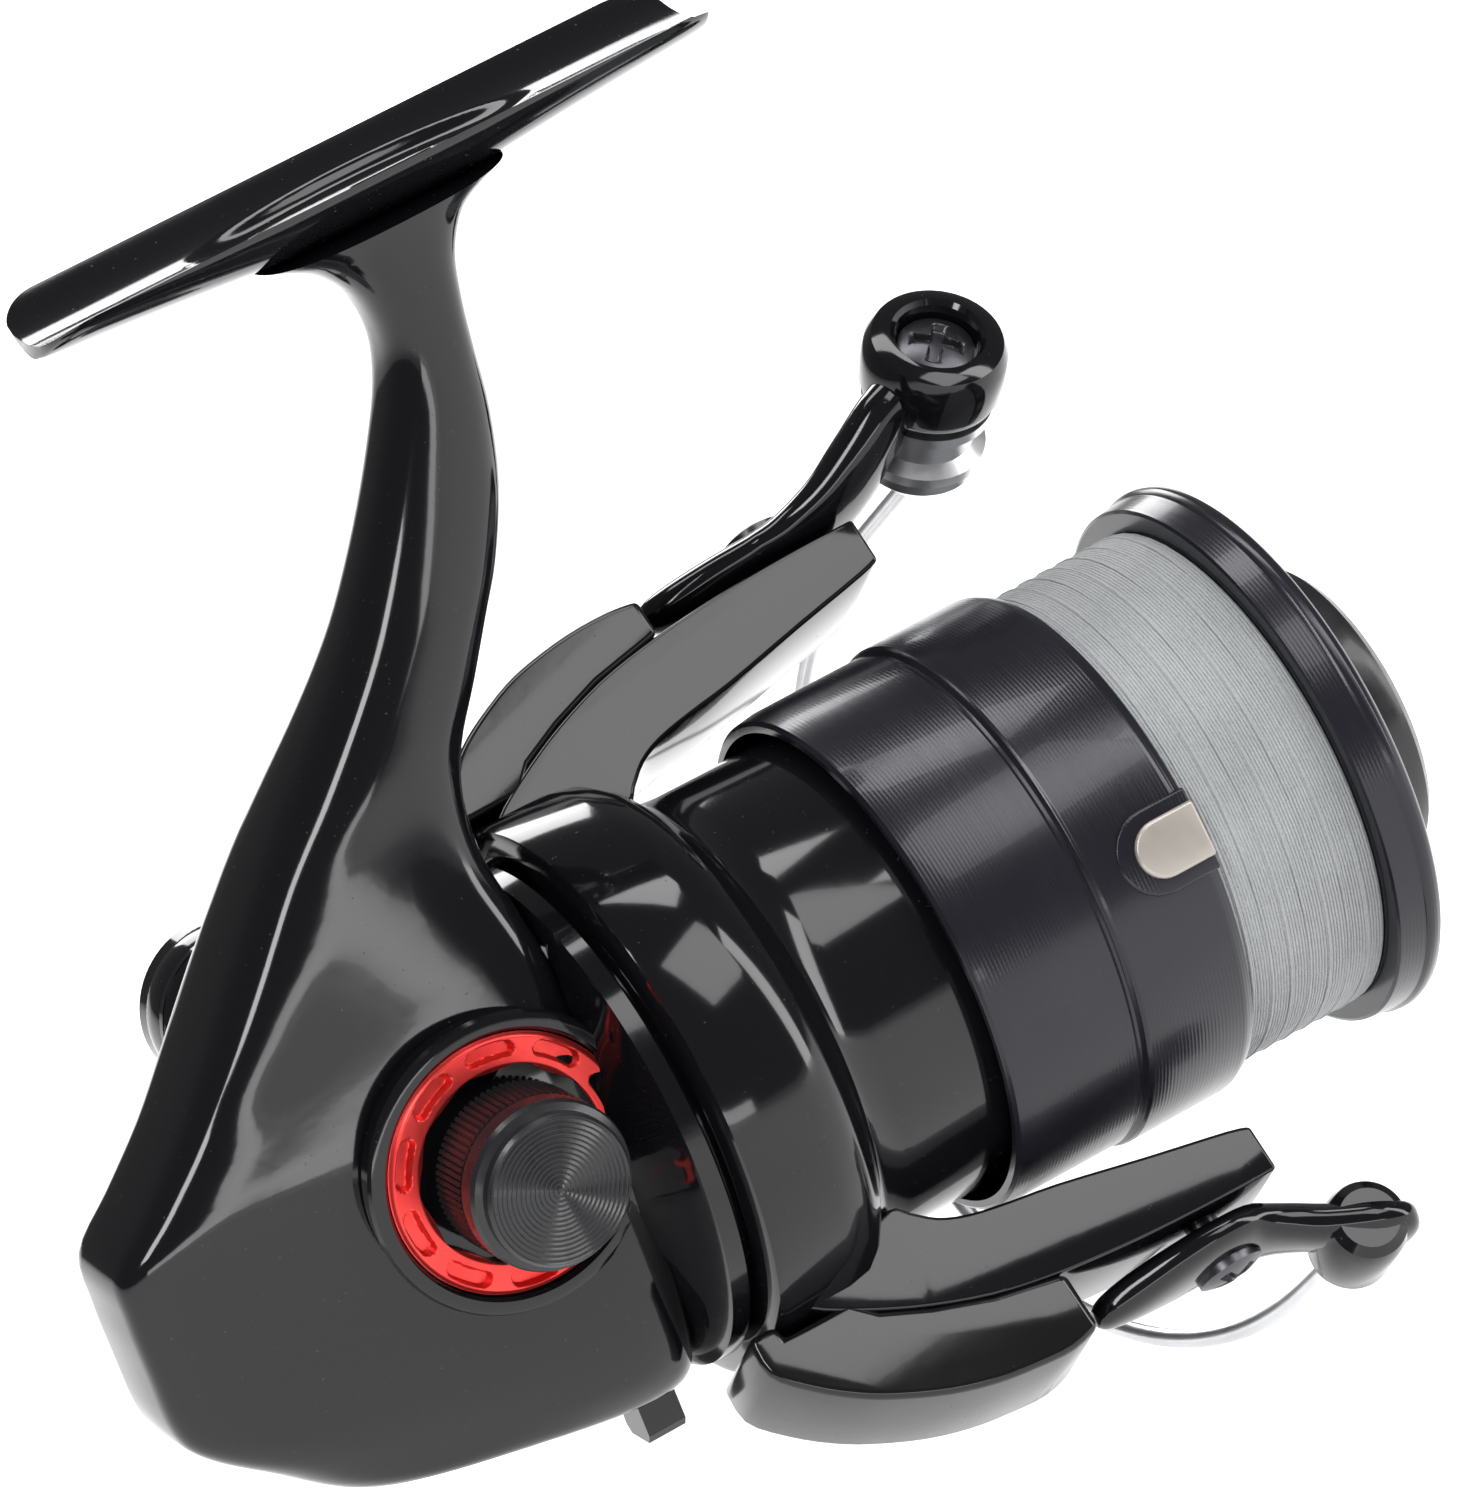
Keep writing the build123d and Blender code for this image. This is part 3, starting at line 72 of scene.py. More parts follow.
# shader and geometry trees are written as expressions, one socket at a time
class Sock:
    def __init__(self, book, link):
        self.book = book
        self.link = link

    def calc(self, operation, a, b=0.0, c=0.0):
        kind = self.book.mathKind
        return self.book.make(kind, {"operation": operation}, {0: a, 1: b, 2: c})

    def __add__(self, other):
        return self.calc("ADD", self, other)

    def __radd__(self, other):
        return self.calc("ADD", other, self)

    def __sub__(self, other):
        return self.calc("SUBTRACT", self, other)

    def __mul__(self, other):
        return self.calc("MULTIPLY", self, other)

    def __rmul__(self, other):
        return self.calc("MULTIPLY", other, self)

    def wave(self):
        return self.calc("SINE", self)

    def above(self, other):
        return self.calc("GREATER_THAN", self, other)


class Book:
    mathKind = "ShaderNodeMath"

    def __init__(self, tree):
        self.tree = tree

    def make(self, kind, settings=None, values=None, output=0):
        node = self.tree.nodes.new(kind)
        for key, value in (settings or {}).items():
            setattr(node, key, value)
        for key, value in (values or {}).items():
            if isinstance(value, Sock):
                self.tree.links.new(value.link, node.inputs[key])
            elif key in (0, 1, 2) and isinstance(key, int) and key >= len(node.inputs):
                continue
            else:
                node.inputs[key].default_value = value
        return Sock(self, node.outputs[output])


def finish(name, base, settings, build=None):
    mat = bpy.data.materials.new(name)
    mat.use_nodes = True
    tree = mat.node_tree
    book = Book(tree)
    shader = tree.nodes["Principled BSDF"]
    shader.inputs["Base Color"].default_value = (*base, 1)
    for key, value in settings.items():
        shader.inputs[key].default_value = value
    mat.diffuse_color = (*base, 1)
    if build:
        place = book.make("ShaderNodeTexCoord", None, None, "Object")
        for key, value in build(book, place).items():
            tree.links.new(value.link, shader.inputs[key])
    return mat


def noise(book, place, scale, detail=3.0):
    return book.make("ShaderNodeTexNoise", None, {"Vector": place, "Scale": scale, "Detail": detail},
        "Fac")


def bump(book, height, strength, distance):
    return book.make("ShaderNodeBump", None, {"Height": height, "Strength": strength,
        "Distance": distance}, "Normal")


def tint(book, mask, low, high):
    values = {0: mask, 6: (*low, 1), 7: (*high, 1)}
    return book.make("ShaderNodeMix", {"data_type": "RGBA"}, values, 2)


def mouldedGloss(tone, rough, peel):
    # thick glossy lacquer: faint orange peel, dust in the finish, roughness that wanders
    def build(book, place):
        wander = noise(book, place, 60.0)
        dust = noise(book, place, 2600.0, 1.0).above(0.775)
        skin = noise(book, place, 420.0, 2.0)
        return {
            "Base Color": tint(book, dust * 0.12, tone, (0.16, 0.16, 0.17)),
            "Roughness": rough + wander * 0.09 + dust * 0.2,
            "Normal": bump(book, skin, peel, 0.0002),
        }
    return build


def turnedMetal(tone, bright, rough, pitch, depth):
    # lathe lines round the shaft, closer than the eye counts, plus a soft stain
    def build(book, place):
        split = book.make("ShaderNodeSeparateXYZ", None, {0: place}, "X")
        lines = (split * (2 * pi / pitch)).wave()
        stain = noise(book, place, 90.0)
        fine = noise(book, book.make("ShaderNodeMapping", None, {0: place, 3: (9000.0, 90.0, 90.0)}, 0),
            1.0, 2.0)
        return {
            "Base Color": tint(book, stain, tone, bright),
            "Roughness": rough + fine * 0.14 + stain * 0.05,
            "Normal": bump(book, lines + fine, depth, 0.00004),
        }
    return build


def wornMetal(tone, bright, rough, grain=700.0):
    def build(book, place):
        stain = noise(book, place, 160.0)
        fine = noise(book, place, grain, 4.0)
        return {
            "Base Color": tint(book, stain, tone, bright),
            "Roughness": rough + fine * 0.18,
            "Normal": bump(book, fine, 0.12, 0.0001),
        }
    return build


def braidLook(tone, bright):
    # plaited strands along each turn: tiny slanted cells and patches of dye
    def build(book, place):
        dye = noise(book, place, 130.0)
        strand = noise(book, place, 5200.0, 2.0)
        return {
            "Base Color": tint(book, dye * 0.45 + strand * 0.6, tone, bright),
            "Roughness": 0.45 + strand * 0.3,
            "Normal": bump(book, strand, 0.5, 0.0002),
        }
    return build


def softGrip(tone):
    def build(book, place):
        grain = noise(book, place, 1500.0)
        return {"Roughness": 0.6 + grain * 0.2, "Normal": bump(book, grain, 0.25, 0.0003),
                "Base Color": tint(book, grain, tone, tuple(1.5 * c for c in tone))}
    return build


glossCoat = {"Coat Weight": 0.12, "Coat Roughness": 0.03, "Specular IOR Level": 0.3}
blackGloss = finish("blackGloss", (0.006, 0.006, 0.007), glossCoat,
    mouldedGloss((0.004, 0.004, 0.005), 0.05, 0.03))
coverGloss = finish("coverGloss", (0.006, 0.006, 0.007), glossCoat,
    mouldedGloss((0.005, 0.005, 0.0055), 0.09, 0.05))
spoolBlack = finish("spoolBlack", (0.012, 0.012, 0.016),
    {"Metallic": 0.3, "Coat Weight": 0.1, "Coat Roughness": 0.05, "Specular IOR Level": 0.35},
    turnedMetal((0.008, 0.008, 0.011), (0.016, 0.016, 0.022), 0.14, 0.00035, 0.10))
capBlack = finish("capBlack", (0.014, 0.014, 0.015),
    {"Metallic": 0.2, "Coat Weight": 0.1, "Coat Roughness": 0.08, "Specular IOR Level": 0.35},
    wornMetal((0.010, 0.010, 0.011), (0.02, 0.02, 0.022), 0.2))
ringRed = finish("ringRed", (0.6, 0.02, 0.02), {"Metallic": 0.85},
    wornMetal((0.55, 0.02, 0.022), (0.75, 0.07, 0.06), 0.26, 1400.0))
steelBright = finish("steelBright", (0.62, 0.62, 0.64), {"Metallic": 1.0},
    wornMetal((0.58, 0.58, 0.6), (0.8, 0.8, 0.82), 0.24))
steelPlain = finish("steelPlain", (0.5, 0.5, 0.52), {"Metallic": 1.0},
    wornMetal((0.42, 0.42, 0.44), (0.6, 0.6, 0.62), 0.28))
screwDark = finish("screwDark", (0.05, 0.05, 0.055), {"Metallic": 0.9},
    wornMetal((0.03, 0.03, 0.033), (0.09, 0.09, 0.1), 0.22))
brassWarm = finish("brassWarm", (0.7, 0.5, 0.22), {"Metallic": 1.0},
    wornMetal((0.62, 0.44, 0.18), (0.78, 0.58, 0.3), 0.25))
zincCast = finish("zincCast", (0.4, 0.4, 0.42), {"Metallic": 0.9},
    wornMetal((0.34, 0.34, 0.36), (0.5, 0.5, 0.52), 0.4))
nylonPale = finish("nylonPale", (0.78, 0.76, 0.7), {}, softGrip((0.5, 0.49, 0.45)))
feltTan = finish("feltTan", (0.4, 0.34, 0.26), {}, softGrip((0.3, 0.26, 0.2)))
gripBlack = finish("gripBlack", (0.02, 0.02, 0.02), {}, softGrip((0.016, 0.016, 0.016)))
braidGrey = finish("braidGrey", (0.35, 0.36, 0.37), {},
    braidLook((0.1, 0.104, 0.108), (0.4, 0.41, 0.42)))
clipTaupe = finish("clipTaupe", (0.33, 0.3, 0.27), {"Metallic": 0.4, "Coat Weight": 0.4},
    wornMetal((0.25, 0.225, 0.2), (0.36, 0.33, 0.3), 0.25))
floorPale = finish("floorPale", (0.93, 0.93, 0.93),
    {"Roughness": 0.9, "Emission Color": (1, 1, 1, 1), "Emission Strength": 0.5})

slotFinish = {"body_black": blackGloss, "cover_black": coverGloss, "skirt_black": spoolBlack,
    "ring_red": ringRed, "cap_black": capBlack, "lip_dark": spoolBlack, "steel": steelPlain,
    "wire_steel": steelBright, "brass": brassWarm, "zinc": zincCast, "arm_metal": blackGloss,
    "knob_rubber": gripBlack, "nylon": nylonPale, "felt": feltTan, "line": braidGrey,
    "roller_metal": steelBright,}
for part in frame["record"]["subparts"]:
    piece = nodes[part["node"]]
    piece.data.materials.clear()
    piece.data.materials.append(slotFinish[part["material_slot"]])
print("finishes ready,", len(bpy.data.materials))


# tools that turn tables of sizes into meshes
def place(x, height, y=0.0):
    return shaftLow + Vector((x, y, height)) * mm


def armPlace(x, across, out):
    return shaftLow + (forward * x + armAcross * across + armOut * out) * mm


def cleaned(name, verts, faces, angle=28.0):
    mesh = bpy.data.meshes.new(name)
    mesh.from_pydata([tuple(v) for v in verts], [], faces)
    work = bmesh.new()
    work.from_mesh(mesh)
    bmesh.ops.remove_doubles(work, verts=work.verts, dist=1e-7)
    bmesh.ops.recalc_face_normals(work, faces=work.faces)
    for face in work.faces:
        face.smooth = True
    work.to_mesh(mesh)
    work.free()
    mesh.set_sharp_from_angle(angle=radians(angle))
    return mesh


def shown(name, mesh, material):
    piece = bpy.data.objects.new(name, mesh)
    bpy.context.scene.collection.objects.link(piece)
    mesh.materials.clear()
    mesh.materials.append(material)
    return piece


def baked(piece):
    # what the modifiers show becomes a plain mesh
    found = piece.evaluated_get(bpy.context.evaluated_depsgraph_get())
    mesh = bpy.data.meshes.new_from_object(found)
    piece.modifiers.clear()
    old = piece.data
    piece.data = mesh
    bpy.data.meshes.remove(old)
    return piece


def rounded(piece, width, segments=3, angle=35.0):
    bevel = piece.modifiers.new("edge", "BEVEL")
    bevel.width = width * mm
    bevel.segments = segments
    bevel.limit_method = "ANGLE"
    bevel.angle_limit = radians(angle)
    baked(piece)
    for face in piece.data.polygons:
        face.use_smooth = True
    piece.data.set_sharp_from_angle(angle=radians(angle))
    return piece


def joined(name, pieces, material):
    work = bmesh.new()
    for piece in pieces:
        work.from_mesh(piece.data)
    mesh = bpy.data.meshes.new(name)
    work.to_mesh(mesh)
    work.free()
    for piece in pieces:
        old = piece.data
        bpy.data.objects.remove(piece)
        bpy.data.meshes.remove(old)
    return shown(name, mesh, material)


def settled(piece, body, slotName, *old):
    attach(piece, body)
    if old:
        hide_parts(*old)
    return piece


def lofted(name, rings, material, angle=28.0):
    count = len(rings[0])
    verts = [v for ring in rings for v in ring]
    faces = []
    for r in range(len(rings) - 1):
        for i in range(count):
            j = (i + 1) % count
            faces.append((r * count + i, r * count + j, (r + 1) * count + j, (r + 1) * count + i))
    faces.append(tuple(range(count)))
    faces.append(tuple((len(rings) - 1) * count + i for i in range(count)))
    return shown(name, cleaned(name, verts, faces, angle), material)


def spun(name, profile, start, axis, material, steps=128, closed=True, angle=28.0):
    # profile is (along the axis, radius) in millimetres
    side = axis.orthogonal().normalized()
    other = axis.cross(side)
    verts = []
    for s in range(steps):
        turn = 2 * pi * s / steps
        ray = side * cos(turn) + other * sin(turn)
        verts += [start + (axis * a + ray * r) * mm for a, r in profile]
    n = len(profile)
    faces = []
    for s in range(steps):
        t = (s + 1) % steps
        for i in range(n if closed else n - 1):
            j = (i + 1) % n
            quad = [s * n + i, s * n + j, t * n + j, t * n + i]
            if profile[i][1] == 0 and profile[j][1] == 0:
                continue
            if profile[i][1] == 0:
                quad = [s * n + i, s * n + j, t * n + j]
            elif profile[j][1] == 0:
                quad = [s * n + i, s * n + j, t * n + i]
            faces.append(quad)
    return shown(name, cleaned(name, verts, faces, angle), material)


def smoothLine(points, steps=6):
    # a curve through every point
    out = []
    for i in range(len(points) - 1):
        p0 = Vector(points[max(i - 1, 0)])
        p1 = Vector(points[i])
        p2 = Vector(points[i + 1])
        p3 = Vector(points[min(i + 2, len(points) - 1)])
        for s in range(steps):
            t = s / steps
            out.append(0.5 * (2 * p1 + (p2 - p0) * t + (2 * p0 - 5 * p1 + 4 * p2 - p3) * t * t
                              + (3 * p1 - p0 - 3 * p2 + p3) * t * t * t))
    out.append(Vector(points[-1]))
    return out


def slab(name, outline, facing, half, material, edge, segments=4):
    # a flat outline in the arm's plane (forward, out), as wide as the arm and rounded at its edges
    verts = []
    for sign in (-1, 1):
        for x, out in outline:
            verts.append(shaftLow + (forward * x + armOut * facing * out + armAcross * sign * half) * mm)
    n = len(outline)
    faces = [tuple(range(n)), tuple(range(2 * n - 1, n - 1, -1))]
    for i in range(n):
        j = (i + 1) % n
        faces.append((i, j, n + j, n + i))
    piece = shown(name, cleaned(name, verts, faces, 40.0), material)
    return rounded(piece, edge, segments, 40.0)


def limb(name, stations, material, sides=32, power=2.4):
    # stations: centre, half width, half thickness; sections stand square to the run
    rings = []
    centres = [s[0] for s in stations]
    for i, (centre, wide, thick, face) in enumerate(stations):
        run = (centres[min(i + 1, len(centres) - 1)] - centres[max(i - 1, 0)]).normalized()
        across = face.cross(run).normalized()
        up = run.cross(across)
        ring = []
        for k in range(sides):
            t = 2 * pi * k / sides
            c = abs(cos(t)) ** (2 / power) * (1 if cos(t) >= 0 else -1)
            s = abs(sin(t)) ** (2 / power) * (1 if sin(t) >= 0 else -1)
            ring.append(centre + (across * wide * c + up * thick * s) * mm)
        rings.append(ring)
    return lofted(name, rings, material, 50.0)


def relief(name, start, axis, inner, outer, level, back, material, sides=240, rows=26):
    # a turned face whose height follows a rule; inner may change with the angle
    side = axis.orthogonal().normalized()
    other = axis.cross(side)
    verts = []
    faces = []
    for s in range(sides):
        turn = 2 * pi * s / sides
        ray = side * cos(turn) + other * sin(turn)
        low = inner(turn)
        verts.append(start + (axis * back + ray * low) * mm)
        for k in range(rows + 1):
            r = low + (outer - low) * k / rows
            verts.append(start + (axis * level(r, turn) + ray * r) * mm)
        verts.append(start + (axis * back + ray * outer) * mm)
    n = rows + 3
    for s in range(sides):
        t = (s + 1) % sides
        for i in range(n):
            j = (i + 1) % n
            faces.append((s * n + i, s * n + j, t * n + j, t * n + i))
    return shown(name, cleaned(name, verts, faces, 32.0), material)


def soft(value, low, high):
    t = min(1.0, max(0.0, (value - low) / (high - low)))
    return t * t * (3 - 2 * t)


# housing and side cover are lofted as one body, then cut at the seam
body = {
    "sides": 72,
    "seam": 4.0,
    # rear x, rear height, front x, front height, half width, squareness, extra width in front
    "stations": [
        (-38.0, -18.6, -16.0, -22.9, 4.0, 2.6, 0.0),
        (-42.6, -17.2, -12.6, -23.1, 7.6, 3.2, 0.05),
        (-48.0, -12.8, -11.2, -21.6, 8.9, 4.0, 0.22),
        (-52.6, -8.8, -11.0, -18.0, 9.6, 5.4, 0.34),
        (-54.2, -5.6, -11.0, -13.0, 9.9, 7.0, 0.4),
        (-54.4, 0.0, -11.0, -5.0, 10.1, 8.0, 0.42),
        (-54.4, 5.0, -11.0, 3.0, 10.1, 8.0, 0.42),
        (-53.9, 9.2, -11.0, 9.0, 10.0, 7.4, 0.4),
        (-50.0, 12.6, -11.0, 14.0, 9.6, 6.4, 0.34),
        (-45.4, 16.8, -11.0, 18.6, 9.2, 5.6, 0.28),
        (-41.0, 21.6, -11.6, 22.8, 8.8, 5.0, 0.2),
        (-36.7, 26.6, -12.2, 27.4, 8.2, 4.2, 0.12),
        (-31.0, 33.0, -11.6, 32.4, 7.4, 3.6, 0.06),
        (-26.2, 37.8, -9.6, 36.4, 7.0, 2.8, 0.0),
        (-21.6, 42.0, -6.6, 40.6, 6.4, 2.7, 0.0),
        (-17.8, 45.8, -3.6, 45.0, 5.9, 2.6, 0.0),
        (-14.6, 49.6, -0.9, 49.0, 5.5, 2.5, 0.0),
        (-10.6, 55.2, 1.6, 54.6, 5.1, 2.5, 0.0),
        (-7.1, 60.8, 3.0, 60.6, 4.8, 2.5, 0.0),
        (-4.7, 65.4, 3.5, 65.8, 4.6, 2.5, 0.0),
        (-3.7, 69.6, 4.0, 70.2, 4.6, 2.5, 0.0),
        (-4.6, 73.8, 5.0, 74.2, 4.9, 2.5, 0.0),
        (-7.4, 77.0, 7.4, 77.4, 5.4, 2.5, 0.0),
        (-11.6, 79.0, 11.6, 79.2, 5.9, 2.6, 0.0),
    ],
}


def bodySections(table, sides, steps=4):
    rows = smoothLine([Vector(s[:2]) for s in table], steps)
    fronts = smoothLine([Vector(s[2:4]) for s in table], steps)
    shapes = smoothLine([Vector(s[4:7]) for s in table], steps)
    rings = []
    for rear, front, shape in zip(rows, fronts, shapes):
        middle = (rear + front) / 2
        reach = (front - rear) / 2
        ring = []
        for k in range(sides):
            t = 2 * pi * k / sides
            c = abs(cos(t)) ** (2 / shape[1]) * (1 if cos(t) >= 0 else -1)
            s = abs(sin(t)) ** (2 / shape[1]) * (1 if sin(t) >= 0 else -1)
            spot = middle + reach * c
            ring.append(place(spot[0], spot[1], shape[0] * s * (1 + shape[2] * c)))
        rings.append(ring)
    return rings


def halved(name, source, keepRight, material):
    work = bmesh.new()
    work.from_mesh(source.data)
    plane = Vector((0, body["seam"] * mm, 0))
    cut = bmesh.ops.bisect_plane(work, geom=work.verts[:] + work.edges[:] + work.faces[:],
        plane_co=plane, plane_no=(0, 1, 0), clear_outer=keepRight, clear_inner=not keepRight)
    rim = [e for e in cut["geom_cut"] if isinstance(e, bmesh.types.BMEdge)]
    bmesh.ops.edgeloop_fill(work, edges=rim)
    bmesh.ops.recalc_face_normals(work, faces=work.faces)
    mesh = bpy.data.meshes.new(name)
    work.to_mesh(mesh)
    work.free()
    mesh.set_sharp_from_angle(angle=radians(40))
    return shown(name, mesh, material)


footSizes = {"length": 62.0, "halfWidth": 6.8, "edge": 1.9, "thick": 3.2, "endThick": 1.3,
    "leafLength": 17.0, "leafWidth": 3.6, "leafDepth": 0.8, "slotLength": 3.6, "slotWidth": 0.9,
    "slotX": 3.0, "slotDepth": 1.2,}


def footMesh(f):
    across = 72
    rings = []
    steps = 260
    half = f["length"] / 2
    for i in range(steps + 1):
        x = -half + f["length"] * i / steps
        tip = min(1.0, (half - abs(x)) / 4.2)
        wide = f["halfWidth"] * (0.42 + 0.58 * sqrt(max(0.0, 1 - (1 - tip) ** 2)))
        if x > 0:
            wide = f["halfWidth"] * (0.72 + 0.28 * sqrt(max(0.0, 1 - (1 - tip) ** 2)))
        deep = f["endThick"] + (f["thick"] - f["endThick"]) * max(0.0,
            1 - max(0.0, abs(x) - 9.0) / 22.0) ** 1.2
        ring = []
        for k in range(across + 1):
            y = wide * (-1 + 2 * k / across)
            z = f["edge"] * (y / f["halfWidth"]) ** 2
            leaf = 1 - (x / f["leafLength"]) ** 2 - (y / f["leafWidth"]) ** 2
            z -= f["leafDepth"] * soft(leaf, 0.0, 0.55)
            slotFar = max(abs(x - f["slotX"]) - f["slotLength"], abs(y) - f["slotWidth"])
            z -= f["slotDepth"] * (1 - soft(slotFar, -0.2, 0.1))
            ring.append(Vector((x, y, z)) * mm)
        for k in range(1, across):
            t = k / across
            y = wide * (1 - 2 * t)
            rim = f["edge"] * (wide / f["halfWidth"]) ** 2
            z = rim - (rim + deep) * (sin(pi * t) ** 0.75)
            ring.append(Vector((x, y, z)) * mm)
        rings.append(ring)
    return lofted("footWork", rings, blackGloss, 40.0)


whole = lofted("wholeWork", bodySections(body["stations"], body["sides"]), blackGloss, 40.0)
right = halved("rightWork", whole, True, blackGloss)
sideCover = halved("sideCoverShell", whole, False, blackGloss)
old = whole.data
bpy.data.objects.remove(whole)
bpy.data.meshes.remove(old)
# each profile is (along the axis, radius), in the axis of its own piece
bezelProfile = [(10.4, 8.6), (10.4, 12.3), (12.6, 12.8), (13.0, 12.6), (13.2, 12.2), (13.2, 11.5),
    (12.9, 11.2), (11.6, 11.05), (11.5, 4.3), (10.6, 4.3)]
bezel = spun("bezelWork", bezelProfile, crankMid, Vector((0, -1, 0)), blackGloss)
flangeProfile = [(-16.0, 11.8), (-13.4, 13.6), (-12.2, 16.0), (-11.4, 19.4), (-11.0, 22.2),
    (-10.8, 22.7), (-9.2, 22.8), (-9.0, 22.6), (-9.0, 21.0), (-1.4, 21.0), (-1.2, 20.8), (-1.2, 6.6),
    (-4.0, 6.6), (-4.0, 11.8)]
flange = spun("flangeWork", flangeProfile,
              shaftLow, forward, blackGloss)


def crossHead(name, start, axis, radius, crown, cross, material):
    side = axis.orthogonal().normalized()

    def level(r, turn):
        u, v = abs(r * cos(turn)), abs(r * sin(turn))
        arm = min(max(u / cross, v / (cross * 0.26)), max(v / cross, u / (cross * 0.26)))
        return crown * (1 - (r / radius) ** 2 * 0.75) - 0.7 * (1 - soft(arm, 0.8, 1.1))
    return relief(name, start, axis, lambda turn: 0.01, radius, level, -0.9, material, 96, 26)


bodyShell = joined("bodyShell", [right, bezel, flange, footMesh(footSizes)], blackGloss)
settled(bodyShell, "frame", "body_black", "housing")
settled(sideCover, "frame", "body_black", "side_cover")
coverScrews = {"places": [(-48.2, 7.9, 6.6), (-34.0, -16.6, 6.9), (-21.8, -18.9, 8.6),
    (-36.5, 20.2, 8.4)], "radius": 2.1}
screwPieces = []
for x, height, deep in coverScrews["places"]:
    spot = place(x, height, deep)
    screwPieces.append(crossHead("coverScrewWork", spot, Vector((0, 1, 0)), coverScrews["radius"], 0.9,
        1.4, screwDark))
coverScrewShells = joined("coverScrewShells", screwPieces, screwDark)
settled(coverScrewShells, "frame", "steel", "cover_screws")
slow = Vector(joints["oscillator_turn"]["pos_m"])
axleProfile = [(5.0, 0), (5.0, 1.2), (8.8, 1.2), (8.8, 0)]
axle = spun("oscillationAxleShell", axleProfile, slow, Vector((0, 1, 0)), steelPlain, 48)
settled(axle, "frame", "steel", "oscillation_axle")
print("housing, cover and foot done")


# trim ring and crank cap, on the near side
near = Vector((0, -1, 0))
trim = {"pockets": 10, "pocketLength": 1.45, "rear": 11.7, "outer": 11.0, "inner": 8.0, "face": 13.0,
    "deep": 0.75, "lobe": 0.45, "pocketMid": 9.75, "pocketHalf": 0.62}


def trimLevel(r, turn):
    step = 2 * pi / trim["pockets"]
    away = ((turn + step / 2) % step - step / 2) * r
    long = abs(away) - trim["pocketLength"]
    wide = abs(r - trim["pocketMid"])
    far = sqrt(max(long, 0.0) ** 2 + wide ** 2) - trim["pocketHalf"]
    level = trim["face"] - trim["deep"] * (1 - soft(far, -0.12, 0.14))
    level -= 0.35 * soft(r, trim["outer"] - 0.45, trim["outer"])
    level -= 0.3 * (1 - soft(r, trim["inner"], trim["inner"] + 0.5))
    return level


def trimInner(turn):
    return trim["inner"] + trim["lobe"] * abs(sin(turn * trim["pockets"] / 2)) ** 3


trimRing = relief("trimRingShell", crankMid, near, trimInner, trim["outer"], trimLevel, trim["rear"],
    ringRed, 480, 40)
settled(trimRing, "frame", "ring_red", "trim_ring")

cap = {"near": 13.4, "knurlEnd": 18.4, "step": 20.8, "face": 22.0, "radius": 7.2, "faceRadius": 6.2,
    "grooves": 15, "groove": 0.11, "ridges": 76, "ridge": 0.2}


def grown(name, sizes, build, material):
    # a geometry tree with named sizes, turned into a plain mesh
    tree = bpy.data.node_groups.new(name + "Tree", "GeometryNodeTree")
    tree.interface.new_socket("Geometry", in_out="OUTPUT", socket_type="NodeSocketGeometry")
    for key, value in sizes.items():
        kind = "NodeSocketInt" if isinstance(value, int) else "NodeSocketFloat"
        tree.interface.new_socket(key, in_out="INPUT", socket_type=kind)
    book = Book(tree)
    entry = tree.nodes.new("NodeGroupInput")
    given = {key: Sock(book, entry.outputs[key]) for key in sizes}
    real = book.make("GeometryNodeRealizeInstances", None, {0: build(book, given)})
    dressed = book.make("GeometryNodeSetMaterial", None, {"Geometry": real, "Material": material})
    leave = tree.nodes.new("NodeGroupOutput")
    tree.links.new(dressed.link, leave.inputs[0])
    piece = shown(name, bpy.data.meshes.new(name), material)
    grow = piece.modifiers.new("grow", "NODES")
    grow.node_group = tree
    for item in tree.interface.items_tree:
        if item.in_out == "INPUT":
            grow[item.identifier] = sizes[item.name]
    return baked(piece)


def knurlBuild(book, given):
    ring = book.make("GeometryNodeCurvePrimitiveCircle", {"mode": "RADIUS"},
        {"Resolution": given["ridges"], "Radius": given["radius"]})
    ridge = book.make("GeometryNodeMeshCylinder", None,
        {"Vertices": 4, "Radius": given["ridge"], "Depth": given["length"]}, "Mesh")
    run = book.make("GeometryNodeInputTangent", None, None)
    turn = book.make("FunctionNodeAlignRotationToVector", {"axis": "X", "pivot_axis": "Z"},
        {"Vector": run})
    spots = book.make("GeometryNodeCurveToPoints", {"mode": "EVALUATED"}, {"Curve": ring}, "Points")
    return book.make("GeometryNodeInstanceOnPoints", None,
        {"Points": spots, "Instance": ridge, "Rotation": turn})


capLength = cap["knurlEnd"] - cap["near"] - 0.5
knurl = grown("knurlWork", {"ridges": cap["ridges"],
    "radius": (cap["radius"] - cap["ridge"] * 0.9) * mm, "ridge": cap["ridge"] * 1.25 * mm,
    "length": capLength * mm}, knurlBuild, capBlack)
quarter = Matrix.Rotation(pi / 2, 4, "X")
knurlMid = crankMid + near * (cap["near"] + 0.25 + capLength / 2) * mm
knurl.data.transform(Matrix.Translation(knurlMid) @ quarter)
capProfile = [(11.2, 0), (11.2, 3.0), (cap["near"], 3.0), (cap["near"], 6.5), (cap["near"] + 0.3, 6.95),
    (cap["knurlEnd"] - 0.3, 6.95), (cap["knurlEnd"], 7.15), (cap["step"] - 0.7, 7.2),
    (cap["step"] - 0.2, 7.0), (cap["step"], 6.6), (cap["step"] + 0.1, 6.42), (cap["face"] - 0.3, 6.4),
    (cap["face"], 6.15)]
for g in range(cap["grooves"]):
    r0 = cap["faceRadius"] * (1 - g / cap["grooves"]) - 0.1
    capProfile += [(cap["face"], r0), (cap["face"] - cap["groove"], r0 - 0.13),
        (cap["face"] - cap["groove"], r0 - 0.2)]
